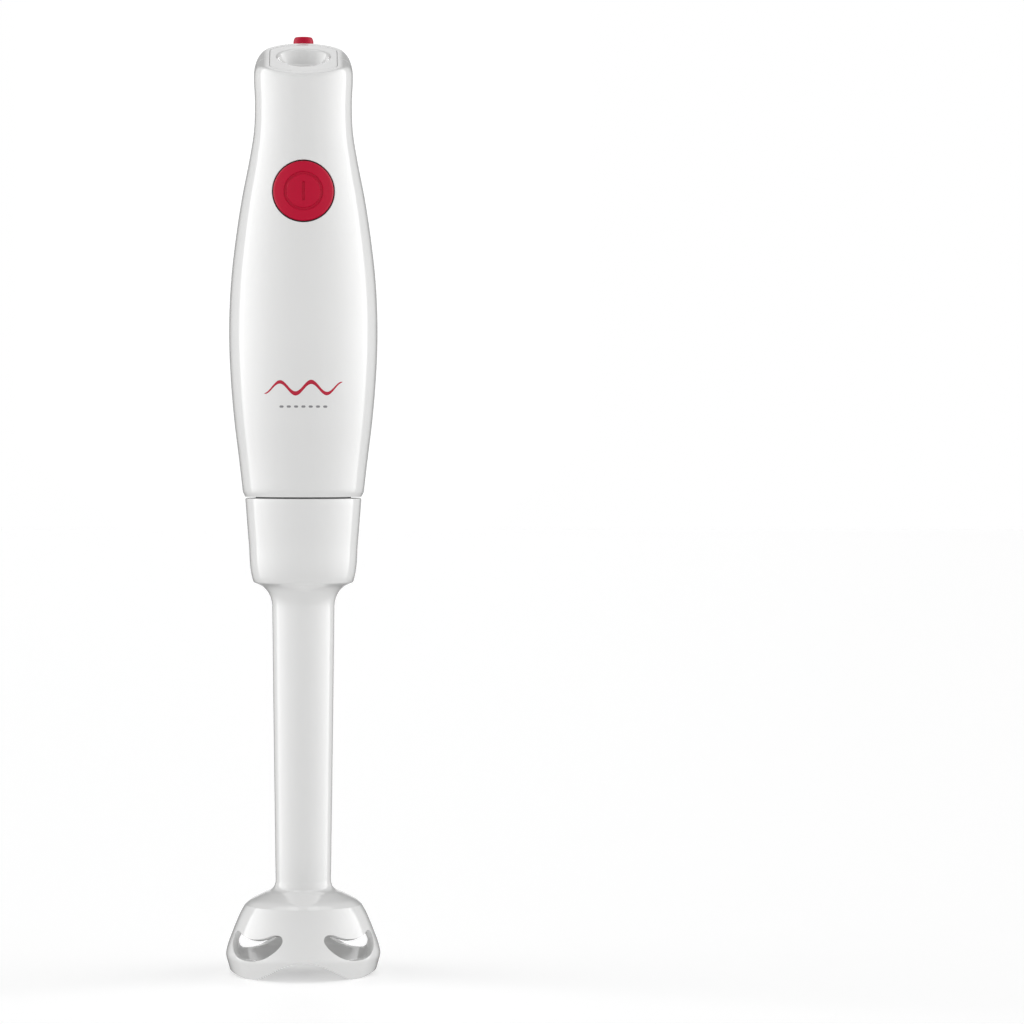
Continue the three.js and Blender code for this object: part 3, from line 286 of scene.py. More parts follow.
def add_piece(name, parts, body, slot, stands_for=(), wall=None, bevel=None, look=None):
    """Makes one object of several parts and joins the points that coincide.

    wall is the thickness that Solidify gives inwards, and bevel is the width that Bevel rounds
    sharp edges by. The finish is the slot's own unless look names another.
    """
    starts = np.cumsum([0] + [len(points) for points, _ in parts])
    points = np.concatenate([points for points, _ in parts])
    quads = np.concatenate([quads + start for (_, quads), start in zip(parts, starts)])
    keys = np.round(points / SAME_POINT).astype(np.int64)
    _, first, which = np.unique(keys, axis=0, return_index=True, return_inverse=True)
    points, quads = points[first], which.reshape(-1)[quads]
    apart = quads != np.roll(quads, 1, axis=1)
    corners = apart.sum(axis=1)
    triangles = quads[corners == 3][apart[corners == 3]].reshape(-1, 3)
    faces = quads[corners == 4].tolist() + triangles.tolist()
    mesh = bpy.data.meshes.new(name)
    mesh.from_pydata(points.tolist(), [], faces)
    mesh.validate()
    mesh.shade_smooth()
    mesh.materials.append(finish(look or slot))
    piece = bpy.data.objects.new(name, mesh)
    bpy.context.scene.collection.objects.link(piece)
    if wall:
        solid = piece.modifiers.new("wall", "SOLIDIFY")
        solid.thickness = wall
        solid.offset = -1
        solid.use_even_offset = True
        solid.use_quality_normals = True
    if bevel:
        soft = piece.modifiers.new("edges", "BEVEL")
        soft.width = bevel
        soft.segments = BEVEL_STEPS
        soft.limit_method = "ANGLE"
        soft.angle_limit = SHARP
        soft.harden_normals = False
    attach(piece, body)
    if stands_for:
        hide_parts(*stands_for)
    return piece


# ---- Finishes ---------------------------------------------------------------------------------


FINISH = "finish_"  # starts the name of every material made here


def group_of(name, inputs, outputs):
    """A new shader node group with named sockets: (name, socket type, default)."""
    tree = bpy.data.node_groups.new(name, "ShaderNodeTree")
    for label, kind, default in inputs:
        socket = tree.interface.new_socket(label, in_out="INPUT", socket_type=kind)
        if default is not None:
            socket.default_value = default
    for label, kind in outputs:
        tree.interface.new_socket(label, in_out="OUTPUT", socket_type=kind)
    return tree, tree.nodes.new("NodeGroupInput"), tree.nodes.new("NodeGroupOutput")


def math_node(tree, operation, a, b=None, clamp=False):
    """A Math node whose inputs are sockets or numbers; returns its output."""
    node = tree.nodes.new("ShaderNodeMath")
    node.operation = operation
    node.use_clamp = clamp
    for socket, value in zip(node.inputs, (a, b)):
        if isinstance(value, bpy.types.NodeSocket):
            tree.links.new(value, socket)
        elif value is not None:
            socket.default_value = value
    return node.outputs[0]


def noise_node(tree, place, scale, detail=3.0, roughness=0.5):
    """A Noise Texture; returns its factor."""
    node = tree.nodes.new("ShaderNodeTexNoise")
    node.inputs["Detail"].default_value = detail
    node.inputs["Roughness"].default_value = roughness
    if isinstance(scale, bpy.types.NodeSocket):
        tree.links.new(scale, node.inputs["Scale"])
    else:
        node.inputs["Scale"].default_value = scale
    tree.links.new(place, node.inputs["Vector"])
    return node.outputs["Fac"]


def mixed(tree, share, a, b):
    """A colour mixed from two by a share; returns the colour."""
    node = tree.nodes.new("ShaderNodeMix")
    node.data_type = "RGBA"
    for socket, value in zip((node.inputs[0], node.inputs[6], node.inputs[7]), (share, a, b)):
        if isinstance(value, bpy.types.NodeSocket):
            tree.links.new(value, socket)
        else:
            socket.default_value = value
    return node.outputs[2]


def moulded_group():
    """Moulded plastic: slow flow marks in its colour, fine grain in its height, and smears of
    handling and dust in its roughness."""
    tree, given, made = group_of(
        "moulded_skin",
        [
            ("Vector", "NodeSocketVector", None),
            ("Colour", "NodeSocketColor", (0.8, 0.8, 0.8, 1)),
            ("Flow", "NodeSocketFloat", 0.03),
            ("Roughness", "NodeSocketFloat", 0.3),
            ("Smear", "NodeSocketFloat", 0.08),
            ("Grain Scale", "NodeSocketFloat", 2500.0),
        ],
        [("Colour", "NodeSocketColor"), ("Roughness", "NodeSocketFloat"),
         ("Height", "NodeSocketFloat")],
    )
    place, links = given.outputs["Vector"], tree.links
    flow = math_node(tree, "MULTIPLY", noise_node(tree, place, 26.0, 2.0), given.outputs["Flow"])
    shade = tree.nodes.new("ShaderNodeHueSaturation")
    links.new(math_node(tree, "SUBTRACT", 1.0, flow), shade.inputs["Value"])
    links.new(given.outputs["Colour"], shade.inputs["Color"])
    smear = math_node(tree, "SUBTRACT", noise_node(tree, place, 60.0, 4.0, 0.65), 0.5)
    smear = math_node(tree, "MULTIPLY", smear, given.outputs["Smear"])
    rough = math_node(tree, "ADD", given.outputs["Roughness"], smear, clamp=True)
    links.new(shade.outputs[0], made.inputs["Colour"])
    links.new(rough, made.inputs["Roughness"])
    grain = noise_node(tree, place, given.outputs["Grain Scale"], 1.0)
    links.new(grain, made.inputs["Height"])
    return tree


def metal_group():
    """Turned, ground or wound metal: fine lines across one axis, worked by a stretched noise,
    with tarnish in its colour."""
    tree, given, made = group_of(
        "worked_metal",
        [
            ("Vector", "NodeSocketVector", None),
            ("Colour", "NodeSocketColor", (0.6, 0.6, 0.6, 1)),
            ("Tarnish Colour", "NodeSocketColor", (0.3, 0.3, 0.3, 1)),
            ("Tarnish", "NodeSocketFloat", 0.2),
            ("Roughness", "NodeSocketFloat", 0.3),
            ("Line Scale", "NodeSocketFloat", 3000.0),
        ],
        [("Colour", "NodeSocketColor"), ("Roughness", "NodeSocketFloat"),
         ("Height", "NodeSocketFloat")],
    )
    place, links = given.outputs["Vector"], tree.links
    stretch = tree.nodes.new("ShaderNodeMapping")
    stretch.inputs["Scale"].default_value = (0.03, 0.03, 1.0)
    links.new(place, stretch.inputs["Vector"])
    lines = noise_node(tree, stretch.outputs[0], given.outputs["Line Scale"], 2.0)
    stain = math_node(tree, "MULTIPLY", noise_node(tree, place, 130.0, 5.0, 0.7),
                      given.outputs["Tarnish"])
    colour_out = mixed(tree, stain, given.outputs["Colour"], given.outputs["Tarnish Colour"])
    rough = math_node(tree, "MULTIPLY_ADD", lines, 0.14)
    links.new(given.outputs["Roughness"], rough.node.inputs[2])
    links.new(colour_out, made.inputs["Colour"])
    links.new(rough, made.inputs["Roughness"])
    links.new(lines, made.inputs["Height"])
    return tree


def finish_of(name, group, values, bump=0.1, bump_distance=0.00002, **sockets):
    """A material: one shader node group on Object coordinates feeds a Principled shader.

    values are the group's inputs, and sockets are the shader's own uniform values, with _ for a
    space in their names.
    """
    material = bpy.data.materials.new(FINISH + name)
    material.use_nodes = True
    tree = material.node_tree
    shader = tree.nodes["Principled BSDF"]
    node = tree.nodes.new("ShaderNodeGroup")
    node.node_tree = group
    for label, value in values.items():
        node.inputs[label].default_value = value
    place = tree.nodes.new("ShaderNodeTexCoord")
    relief = tree.nodes.new("ShaderNodeBump")
    relief.inputs["Strength"].default_value = bump
    relief.inputs["Distance"].default_value = bump_distance
    tree.links.new(place.outputs["Object"], node.inputs["Vector"])
    tree.links.new(node.outputs["Colour"], shader.inputs["Base Color"])
    tree.links.new(node.outputs["Roughness"], shader.inputs["Roughness"])
    tree.links.new(node.outputs["Height"], relief.inputs["Height"])
    tree.links.new(relief.outputs[0], shader.inputs["Normal"])
    for label, value in sockets.items():
        shader.inputs[label.replace("_", " ")].default_value = value
    return material


def opaque(rgb):
    """A colour with full alpha."""
    return (*rgb, 1.0)


def make_finishes():
    """Every finish of the blender, by name. Made once, and looked up afterwards."""
    skin, metal = moulded_group(), metal_group()
    colours = sizes("blender_colours")

    def moulded(name, rgb, rough, **more):
        values = {"Colour": opaque(rgb), "Roughness": rough}
        values.update(more.pop("skin", {}))
        return finish_of(name, skin, values, **more)

    def metallic(name, rgb, tarnish, rough, **more):
        values = {"Colour": opaque(rgb), "Tarnish Colour": opaque(tarnish), "Roughness": rough}
        values.update(more.pop("lines", {}))
        return finish_of(name, metal, values, Metallic=1.0, **more)

    moulded("white_gloss", colours.white, 0.16, bump=0.03, skin={"Flow": 0.02, "Smear": 0.05},
            Coat_Weight=0.9, Coat_Roughness=0.05)
    moulded("crimson_plastic", colours.crimson, 0.3, bump=0.06,
            skin={"Flow": 0.12, "Smear": 0.1}, Specular_IOR_Level=0.22)
    moulded("studio_floor", colours.floor, 0.7, bump=0.0, skin={"Flow": 0.01},
            Emission_Color=(1, 1, 1, 1), Emission_Strength=0.34)
    moulded("print_crimson", colours.crimson, 0.35, bump=0.05, skin={"Flow": 0.1})
    moulded("print_grey", colours.print_grey, 0.4, bump=0.05, skin={"Flow": 0.1})
    moulded("dark_rubber", (0.018, 0.018, 0.02), 0.62, bump=0.5, bump_distance=0.0001,
            skin={"Flow": 0.3, "Smear": 0.25, "Grain Scale": 1600.0})
    moulded("black_plastic", (0.025, 0.025, 0.028), 0.42, bump=0.35, bump_distance=0.00006,
            skin={"Flow": 0.2, "Smear": 0.15})
    moulded("grey_plastic", (0.3, 0.31, 0.32), 0.45, bump=0.3, bump_distance=0.00006,
            skin={"Flow": 0.15, "Smear": 0.15})
    moulded("carbon", (0.03, 0.03, 0.032), 0.55, bump=0.5, bump_distance=0.00008,
            skin={"Flow": 0.4, "Smear": 0.3})
    metallic("steel", (0.62, 0.62, 0.63), (0.35, 0.34, 0.33), 0.2, bump=0.25)
    metallic("lamination", (0.42, 0.42, 0.43), (0.12, 0.1, 0.09), 0.36, bump=0.6,
             bump_distance=0.0001, lines={"Line Scale": 2200.0, "Tarnish": 0.5})
    metallic("copper", (0.72, 0.27, 0.12), (0.3, 0.09, 0.05), 0.28, bump=0.8,
             bump_distance=0.0002, lines={"Line Scale": 1700.0, "Tarnish": 0.45})
    metallic("brass", (0.75, 0.55, 0.22), (0.3, 0.2, 0.08), 0.26, bump=0.3,
             lines={"Tarnish": 0.35})


def finish(name):
    """A finish by its name."""
    return bpy.data.materials[FINISH + name]


# ---- Motor grip -------------------------------------------------------------------------------

# Outline of the grip between its radii: share of the way up, share of the change.
SWELL = ((0.23, 0.296), (0.487, 0.643), (0.746, 0.887))
TAPER = ((0.259, 0.084), (0.43, 0.261), (0.6, 0.498), (0.772, 0.803), (0.874, 0.951))
BLEND_AT = 0.8  # share of the wall's rows that are level, under the slanting ones
HALF_SEAM = 0.1 * MM  # half the gap between the two shells
SHELL_EDGE = 0.25 * MM  # rounding of the edges of the shells' holes
CAP_WALL = 1.2 * MM
BUTTON_WINDOW = 17 * MM  # half the height of the stretch of grid round the button's hole
VENTS = 5
VENT_Z = 217 * MM
VENT_PITCH = 4.4 * MM
VENT_HALF = 10 * MM
VENT_HEIGHT = 2 * MM
SCREWS = tuple(
    (0.5 * (low[0] + high[0]), 0.5 * (low[2] + high[2]))
    for low, high in (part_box(f"shell_screw_{i}") for i in (1, 2, 3))
)
SCREW_SEAT_Y = 9 * MM
COUNTERBORE = 2.9 * MM
SCREW_HOLE = 1.9 * MM
GLAND_R = 4.15 * MM
GLAND_Z = 368 * MM
BUTTON_Z = 0.5 * (BUTTON_LOW[2] + BUTTON_HIGH[2])
BUTTON_R = 0.5 * (BUTTON_HIGH[0] - BUTTON_LOW[0])


class Grip:
    """The grip's outer surface, worked out from its sizes."""

    def __init__(self):
        self.g = g = sizes("grip_sizes")
        low = GRIP_LOW_Z
        belly, neck = low + g.belly_rise, low + g.neck_rise
        points = [(low, g.rim)]
        points += [(low + a * (belly - low), g.rim + b * (g.belly - g.rim)) for a, b in SWELL]
        points += [(belly, g.belly)]
        points += [(belly + a * (neck - belly), g.belly + b * (g.neck - g.belly))
                   for a, b in TAPER]
        points += [(neck, g.neck), (low + g.head_rise, g.head)]
        self.line = smooth_line(points, 900)
        self.low, self.neck_z, self.top_z = low, neck, low + g.top_rise

    def radius(self, z):
        """Radius at a height: the smooth outline, level above the head."""
        return np.interp(z, self.line[:, 0], self.line[:, 1])

    def top(self, x, y):
        """Height of the slanting top: a plane, less a quarter ellipse at each side."""
        g = self.g
        out = np.clip((np.abs(x) - g.cap_half) / (g.head + 0.3 * MM - g.cap_half), 0, 1)
        fall = g.fall * (1 - np.sqrt(1 - out**2))
        return self.top_z + np.tan(g.tilt) * y - fall / np.cos(g.tilt)

    def wall_top(self, angle):
        """Height where the wall ends and the rounded edge starts."""
        g = self.g
        return self.top(g.head * np.cos(angle), g.head * np.sin(angle)) - g.edge_drop

    def cap_radius(self, angle, grown=0.0):
        """Outline of the cap: a circle cut by two straight sides, with soft corners."""
        g = self.g
        circle = g.cap + grown
        side = (g.cap_half + grown) / np.maximum(np.abs(np.cos(angle)), 1e-6)
        return (circle**-30.0 + side**-30.0) ** (-1 / 30.0)

    def place(self, x, z, side):
        """The two parameters of a point of the wall, from its place seen from front or rear."""
        angle = side * np.arccos(np.clip(x / self.radius(z), -1, 1))
        level = BLEND_AT * (z - self.low) / (self.neck_z - self.low)
        over = (z - self.neck_z) / (self.wall_top(angle) - self.neck_z)
        return angle, np.where(z < self.neck_z, level, BLEND_AT + (1 - BLEND_AT) * over)

    def surface(self, angle, v):
        """The shell's skin. The wall is (r(z) cos a, r(z) sin a, z) for v up to 1, the rounded
        edge is a quadratic curve round the corner for v up to 2, and the slanting top goes
        straight from there to the cap's outline for v up to 3."""
        g = self.g
        wall, edge, face = np.clip(v, 0, 1), np.clip(v - 1, 0, 1), np.clip(v - 2, 0, 1)
        level = self.low + wall / BLEND_AT * (self.neck_z - self.low)
        over = (wall - BLEND_AT) / (1 - BLEND_AT)
        rising = self.neck_z + over * (self.wall_top(angle) - self.neck_z)
        z = np.where(wall < BLEND_AT, level, rising)
        broken = np.clip(1 - (z - self.low) / (2.8 * g.chamfer), 0, 1)
        r = self.radius(z) - g.chamfer * broken
        x, y = r * np.cos(angle), r * np.sin(angle)
        # The rounded edge, between the wall's end, the corner and a place on the top.
        corner_z = self.top(g.head * np.cos(angle), g.head * np.sin(angle))
        r_in = g.head - g.edge
        x_in, y_in = r_in * np.cos(angle), r_in * np.sin(angle)
        a, b, c = (1 - edge) ** 2, 2 * edge * (1 - edge), edge**2
        r_edge = a * g.head + b * g.head + c * r_in
        z_edge = a * (corner_z - g.edge_drop) + b * corner_z + c * self.top(x_in, y_in)
        # The top, from there to the cap.
        r_cap = self.cap_radius(angle, g.seam)
        x_top = x_in + face * (r_cap * np.cos(angle) - x_in)
        y_top = y_in + face * (r_cap * np.sin(angle) * np.cos(g.tilt) - y_in)
        x = np.where(v > 1, r_edge * np.cos(angle), x)
        y = np.where(v > 1, r_edge * np.sin(angle), y)
        z = np.where(v > 1, z_edge, z)
        x, y = np.where(v > 2, x_top, x), np.where(v > 2, y_top, y)
        z = np.where(v > 2, self.top(x_top, y_top), z)
        side = np.sign(angle)
        middle = np.where(side > 0, np.maximum(y, HALF_SEAM), np.minimum(y, -HALF_SEAM))
        return np.stack([x, middle, z], axis=-1)

    def rows(self, *stretches):
        """Rows of the grid: stretches of (end height, count) up the level part of the wall,
        then the rest of the wall, the rounded edge and the top."""
        heights = [np.array([self.low])]
        for end, count in stretches:
            heights.append(np.linspace(heights[-1][-1], end, count + 1)[1:])
        level = BLEND_AT * (np.concatenate(heights) - self.low) / (self.neck_z - self.low)
        return np.concatenate([
            level, np.linspace(BLEND_AT, 1, 21)[1:], np.linspace(1, 2, 7)[1:],
            np.linspace(2, 3, 9)[1:],
        ])


def round_hole(grip, x, z, radius, side):
    """A hole that is round seen from the front (side -1) or the rear (side 1)."""

    def hole(s, t):
        turn = np.arctan2(t, s)
        return grip.place(x - side * radius * np.cos(turn), z + radius * np.sin(turn), side)

    return hole


def long_hole(grip, z, half_length, half_height):
    """A level slot with round ends in the rear wall."""

    def hole(s, t):
        end = np.abs(s) > 1 - 1e-9
        x = s * (half_length - half_height)
        x = x + np.where(end, np.sign(s) * half_height * np.cos(0.5 * np.pi * t), 0)
        rise = np.where(end, np.sin(0.5 * np.pi * t), t)
        return grip.place(-x, z + half_height * rise, 1)

    return hole


def nearest(values, wanted):
    """The number of the value that is nearest to the one wanted."""
    return int(np.argmin(np.abs(values - wanted)))


def window(across, along, grip, x_range, z_range, side, hole):
    """A window of a shell's grid round a stretch of the wall seen from the front or rear."""
    x, z = np.array(x_range), np.array(z_range)
    angles, places = grip.place(x, z, side)
    left, right = sorted(nearest(across, a) for a in angles)
    low, high = nearest(along, places[0]), nearest(along, places[1])
    return left, right, low, high, hole


class BLENDER_OT_shells(bpy.types.Operator):
    """Make the two shells of the motor grip. Their skin is a function of angle and height, with
    the switch hole in front, and vents, screw wells and the gland hole at the rear"""

    bl_idname = "immersion_blender.shells"
    bl_label = "Shells"

    def execute(self, context):
        grip, switch = Grip(), sizes("switch_sizes")
        columns = 145
        radius = BUTTON_R + switch.gap
        across = np.linspace(-np.pi, 0, columns)
        across[[0, -1]] = (-np.pi + 1e-9, -1e-9)
        along = grip.rows((grip.low + 2 * MM, 4), (BUTTON_Z - BUTTON_WINDOW, 60),
                          (BUTTON_Z + BUTTON_WINDOW, 30), (grip.neck_z, 12))
        hole = round_hole(grip, 0.0, BUTTON_Z, radius, -1)
        around = window(across, along, grip, (-16.5 * MM, 16.5 * MM),
                        (BUTTON_Z - BUTTON_WINDOW, BUTTON_Z + BUTTON_WINDOW), -1, hole)
        parts, _ = pierced(grip.surface, across, along, [around], False)
        add_piece("front_shell_skin", parts, "motor_unit", "white_gloss", ["front_shell"],
                  grip.g.wall, SHELL_EDGE)

        across = -across[::-1]
        vent_low = VENT_Z - 0.5 * (VENT_PITCH - VENT_HEIGHT)
        vent_high = vent_low + VENTS * VENT_PITCH
        reach = COUNTERBORE + 1.6 * MM
        along = grip.rows(
            (grip.low + 2 * MM, 4), (vent_low, 10), (vent_high, 6 * VENTS),
            (SCREWS[0][1] - reach, 30), (SCREWS[0][1] + reach, 12),
            (SCREWS[2][1] - reach, 16), (SCREWS[2][1] + reach, 12), (grip.neck_z, 3),
        )
        windows = []
        for i in range(VENTS):
            low = vent_low + i * VENT_PITCH
            slot = long_hole(grip, VENT_Z + 0.5 * VENT_HEIGHT + i * VENT_PITCH, VENT_HALF,
                             0.5 * VENT_HEIGHT)
            windows.append(window(across, along, grip, (-1.15 * VENT_HALF, 1.15 * VENT_HALF),
                                  (low, low + VENT_PITCH), 1, slot))
        for x, z in SCREWS:
            well = round_hole(grip, x, z, COUNTERBORE, 1)
            windows.append(window(across, along, grip, (x - reach, x + reach),
                                  (z - reach, z + reach), 1, well))
        through = GLAND_R + 0.3 * MM
        gland = round_hole(grip, 0.0, GLAND_Z, through, 1)
        spread = 1.5 * through
        windows.append(window(across, along, grip, (-spread, spread),
                              (GLAND_Z - spread, GLAND_Z + spread), 1, gland))
        parts, rims = pierced(grip.surface, across, along, windows, False)
        for (x, z), rim in zip(SCREWS, rims[VENTS:]):
            parts.append(self.well(rim, x, z))
        add_piece("rear_shell_skin", parts, "motor_unit", "white_gloss", ["rear_shell"],
                  grip.g.wall, SHELL_EDGE)
        return {"FINISHED"}

    @staticmethod
    def well(rim, x, z):
        """A screw's well: the hole's edge carried straight in to its seat, and the seat."""
        seat = rim.copy()
        seat[:, 1] = SCREW_SEAT_Y
        middle = np.array([x, SCREW_SEAT_Y, z])
        inner = middle + (seat - middle) * (SCREW_HOLE / COUNTERBORE)
        share = np.linspace(0, 1, 5)[:, None, None]
        return sheet_of(np.concatenate([rim + (seat - rim) * share, inner[None]]))


class BLENDER_OT_cap(bpy.types.Operator):
    """Make the cap let into the slanting top. Its radius goes from its outline to the oval dish
    in its middle, in the plane of the top"""

    bl_idname = "immersion_blender.cap"
    bl_label = "Cap"

    def execute(self, context):
        grip = Grip()
        g, edge, lip, foot = grip.g, 0.35 * MM, 1.0 * MM, 2.2 * MM
        floor = 0.76 * g.dish
        slope = np.array([floor - g.dish, -g.dish_depth])
        down = slope / np.linalg.norm(slope)
        mouth, bottom = np.array([g.dish, 0.0]), np.array([floor, -g.dish_depth])
        dish = np.concatenate([
            round_corner(mouth + [lip, 0], mouth, mouth + lip * down, 9),
            round_corner(bottom - foot * down, bottom, bottom - [foot, 0], 13),
            np.linspace(bottom - [foot, 0], [0, -g.dish_depth - 0.2 * MM], 9)[1:],
        ])
        rim = arc((-edge, -edge), edge, 0, 90, 6)
        flat = np.linspace(0, 1, 10)[1:-1]
        # Each row's radius is a share of the outline and a length.
        share = np.concatenate([[1, 1], np.ones(len(rim)), 1 - flat, np.zeros(len(dish))])
        size = np.concatenate([
            [0, 0], rim[:, 0], -edge * (1 - flat) + (g.dish + lip) * flat, dish[:, 0]
        ])
        drop = np.concatenate([[-2.1 * MM, -1 * MM], rim[:, 1], 0 * flat, dish[:, 1]])
        angle = np.linspace(0, 2 * np.pi, 240, endpoint=False)
        r = share[:, None] * grip.cap_radius(angle) + size[:, None]
        inward = 1 - share[:, None]  # 0 on the outline, 1 in the dish
        across = r * np.cos(angle) * (1 + inward * g.dish_flare * np.sin(angle))
        v = r * np.sin(angle) * (1 + inward * (g.dish_long - 1)) + inward * g.dish_back
        w = drop[:, None]
        points = np.stack([
            across, v * np.cos(g.tilt) - w * np.sin(g.tilt),
            grip.top_z + v * np.sin(g.tilt) + w * np.cos(g.tilt),
        ], axis=-1)
        add_piece("top_cap_skin", [sheet_of(points)], "motor_unit", "white_gloss", ["top_cap"],
                  CAP_WALL)
        return {"FINISHED"}


def round_corner(start, corner, end, count):
    """A quadratic curve from start to end that a corner pulls."""
    t = np.linspace(0, 1, count)[:, None]
    return (1 - t) ** 2 * start + 2 * t * (1 - t) * corner + t**2 * end


class BLENDER_OT_gland(bpy.types.Operator):
    """Make the elbow gland behind the top: a circle carried along a path that goes back through
    the wall, bends up and ends in a rounded mouth"""

    bl_idname = "immersion_blender.gland"
    bl_label = "Cord gland"

    def execute(self, context):
        bore, bend = 3 * MM, 8 * MM
        top, back = GLAND_HIGH[2], GLAND_HIGH[1] - GLAND_R
        start, corner = np.array([back - bend, GLAND_Z]), np.array([back, GLAND_Z])
        end = np.array([back, GLAND_Z + bend])
        fillet, drop = GLAND_R - bore, 2.6 * MM
        turn = np.linspace(0, 0.5 * np.pi, 9)
        inside = GLAND_LOW[1] + 1 * MM
        flange, thick = 6 * MM, 1.4 * MM
        path = np.concatenate([
            [[inside, GLAND_Z]] * 2, [[inside + thick, GLAND_Z]] * 2,
            round_corner(start, corner, end, 22), [[back, top - drop]],
            np.stack([0 * turn + back, top - drop * (1 - np.sin(turn))], axis=-1)[1:],
            [[back, top - 0.3 * MM], [back, top - 5 * MM], [back, top - 5 * MM]],
        ])
        radius = np.concatenate([
            [0, flange, flange, GLAND_R], np.full(22, GLAND_R), [GLAND_R],
            (GLAND_R - (fillet - 0.12 * MM) * (1 - np.cos(turn)))[1:], [bore, bore, 0],
        ])
        way = np.gradient(path, axis=0)
        heading = np.arctan2(way[:, 1], way[:, 0])
        heading[:4], heading[26:] = 0.0, 0.5 * np.pi
        angle = np.linspace(0, 2 * np.pi, 64, endpoint=False)
        r, h = radius[:, None], heading[:, None]
        lift = r * np.sin(angle)
        points = np.stack([
            r * np.cos(angle), path[:, :1] - lift * np.sin(h), path[:, 1:] + lift * np.cos(h)
        ], axis=-1)
        # A circle drawn from x to up turns backwards round its path, so its rows are reversed.
        add_piece("cord_gland_skin", [sheet_of(points[::-1])], "motor_unit", "crimson_plastic",
                  ["cord_gland"])
        return {"FINISHED"}


class BLENDER_OT_button(bpy.types.Operator):
    """Make the push button. Its face follows the grip, hollowed a little, and a ring and a bar
    are sunk in it by smooth steps of the distance to them"""

    bl_idname = "immersion_blender.button"
    bl_label = "Push button"

    def execute(self, context):
        grip, s = Grip(), sizes("switch_sizes")
        back, edge = BUTTON_HIGH[1], 0.7 * MM
        inner = BUTTON_R - edge
        reach = np.concatenate([
            np.linspace(0, BUTTON_R, 6), [BUTTON_R] * 6,
            BUTTON_R - edge * (1 - np.cos(np.linspace(0, 0.5 * np.pi, 8))),
            np.linspace(inner, s.groove + 1.2 * MM, 18)[1:],
            np.linspace(s.groove + 1.2 * MM, s.groove - 1.2 * MM, 33)[1:],
            np.linspace(s.groove - 1.2 * MM, 0, 48)[1:],
        ])
        count = len(reach)
        angle = np.linspace(0, 2 * np.pi, 240, endpoint=False)
        ro = reach[:, None]
        x, z = ro * np.cos(angle), BUTTON_Z + ro * np.sin(angle)
        face = -np.sqrt((grip.radius(z) + s.proud) ** 2 - x**2)
        hollow = s.dishing * np.clip(1 - (ro / inner) ** 2, 0, 1)
        half, soft = 0.5 * s.groove_width, 0.16 * MM
        to_ring = np.abs(ro - s.groove) - half
        to_bar = np.maximum(np.abs(x) - half, np.abs(z - BUTTON_Z) - 0.5 * s.bar)
        sunk = 1 / (1 + np.exp(np.clip(4 * np.minimum(to_ring, to_bar) / soft, -40, 40)))
        front = face + hollow + s.groove_depth * sunk
        step = np.arange(count)[:, None]
        side = np.clip((step - 5) / 6, 0, 1)  # up the side from the back to the rounded edge
        turn = np.clip((step - 12) / 7, 0, 1) * 0.5 * np.pi
        y = np.where(step < 12, back + side * (face + edge - back),
                     front + edge * (1 - np.sin(turn)))
        points = np.stack([x, y, z], axis=-1)
        add_piece("power_button_skin", [sheet_of(points)], "button", "crimson_plastic",
                  ["power_button"])
        # The lip is painted shade: a dark ring that stands for the shadow in the gap round the
        # button.
        self.lip(grip, s)
        self.spring()
        return {"FINISHED"}

    @staticmethod
    def spring():
        """The button's return spring: a circle carried along a helix between the plunger's head
        and the switch, which is pressed together as the button goes in."""
        low, high = SPRING_LOW, SPRING_HIGH
        wire, turns, steps = 0.3 * MM, 3.5, 113
        radius, length_y = 0.5 * (high[0] - low[0]) - wire, high[1] - low[1]
        turn = np.linspace(0, 2 * np.pi * turns, steps)
        turn = np.concatenate([turn[:1], turn, turn[-1:]])[:, None]
        thick = np.full((steps + 2, 1), wire)
        thick[[0, -1]] = 0
        around = np.linspace(0, 2 * np.pi, 12, endpoint=False)
        r = radius + thick * np.cos(around)
        y = low[1] + wire + (length_y - 2 * wire) * turn / turn[-1] + thick * np.sin(around)
        points = np.stack([r * np.cos(turn), y, BUTTON_Z + r * np.sin(turn)], axis=-1)
        coil = add_piece("button_spring_coil", [sheet_of(points)], "motor_unit", "steel",
                         ["button_spring"])
        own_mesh(coil)

    @staticmethod
    def lip(grip, s):
        """Painted shade: a dark ring of soft rubber that fills the gap round the button just under
        the surface, and stands for the shadow in that gap.
        """
        inner, outer = BUTTON_R + 0.06 * MM, BUTTON_R + s.gap - 0.04 * MM
        turn = np.linspace(np.pi, 0, 9)
        middle, half = 0.5 * (inner + outer), 0.5 * (outer - inner)
        reach = np.concatenate([[inner], middle + half * np.cos(turn), [outer, inner]])[:, None]
        sunk = np.concatenate([[3 * MM], s.gap_shade_depth + half * (1 - np.sin(turn)), [3 * MM] * 2])
        angle = np.linspace(0, 2 * np.pi, 160, endpoint=False)
        x, z = reach * np.cos(angle), BUTTON_Z + reach * np.sin(angle)
        y = -np.sqrt((grip.radius(z) - sunk[:, None]) ** 2 - x**2)
        # Dark rubber in the gap round the button, as painted shade for the shadow in that gap.
        add_piece("button_lip", [sheet_of(np.stack([x, y, z], axis=-1)[::-1])], "motor_unit",
                  "dark_rubber")


# ---- Foot -------------------------------------------------------------------------------------

# Outline of the foot, as radius and height in millimetres, in stretches that meet at corners.
GUARD_SIDE = ((29.2, 0), (29.75, 1.9), (30.55, 4.7), (31.3, 7.9), (30.5, 12), (28.75, 16.8),
              (26.8, 21.7), (25.3, 25), (23.6, 28))
SHOULDER = ((23.56, 28.03), (21.5, 29.8), (18.5, 31.5), (15.4, 33))
STEM_BEND = ((15.36, 33.02), (14.3, 33.45), (12.9, 34.1), (11.8, 35.2), (11.25, 37))
STEM = ((11.2, 38), (11.8, 82), (12.2, 114), (12.6, 149))
COLLAR_BEND = ((12.75, 150.5), (13.3, 152.6), (14.6, 155), (16.3, 156.7), (18.7, 158), (20, 158.6))
COLLAR = ((20.35, 159.1), (20.95, 161.4), (22.1, 174.4), (22.9, 184), (23.5, 192))
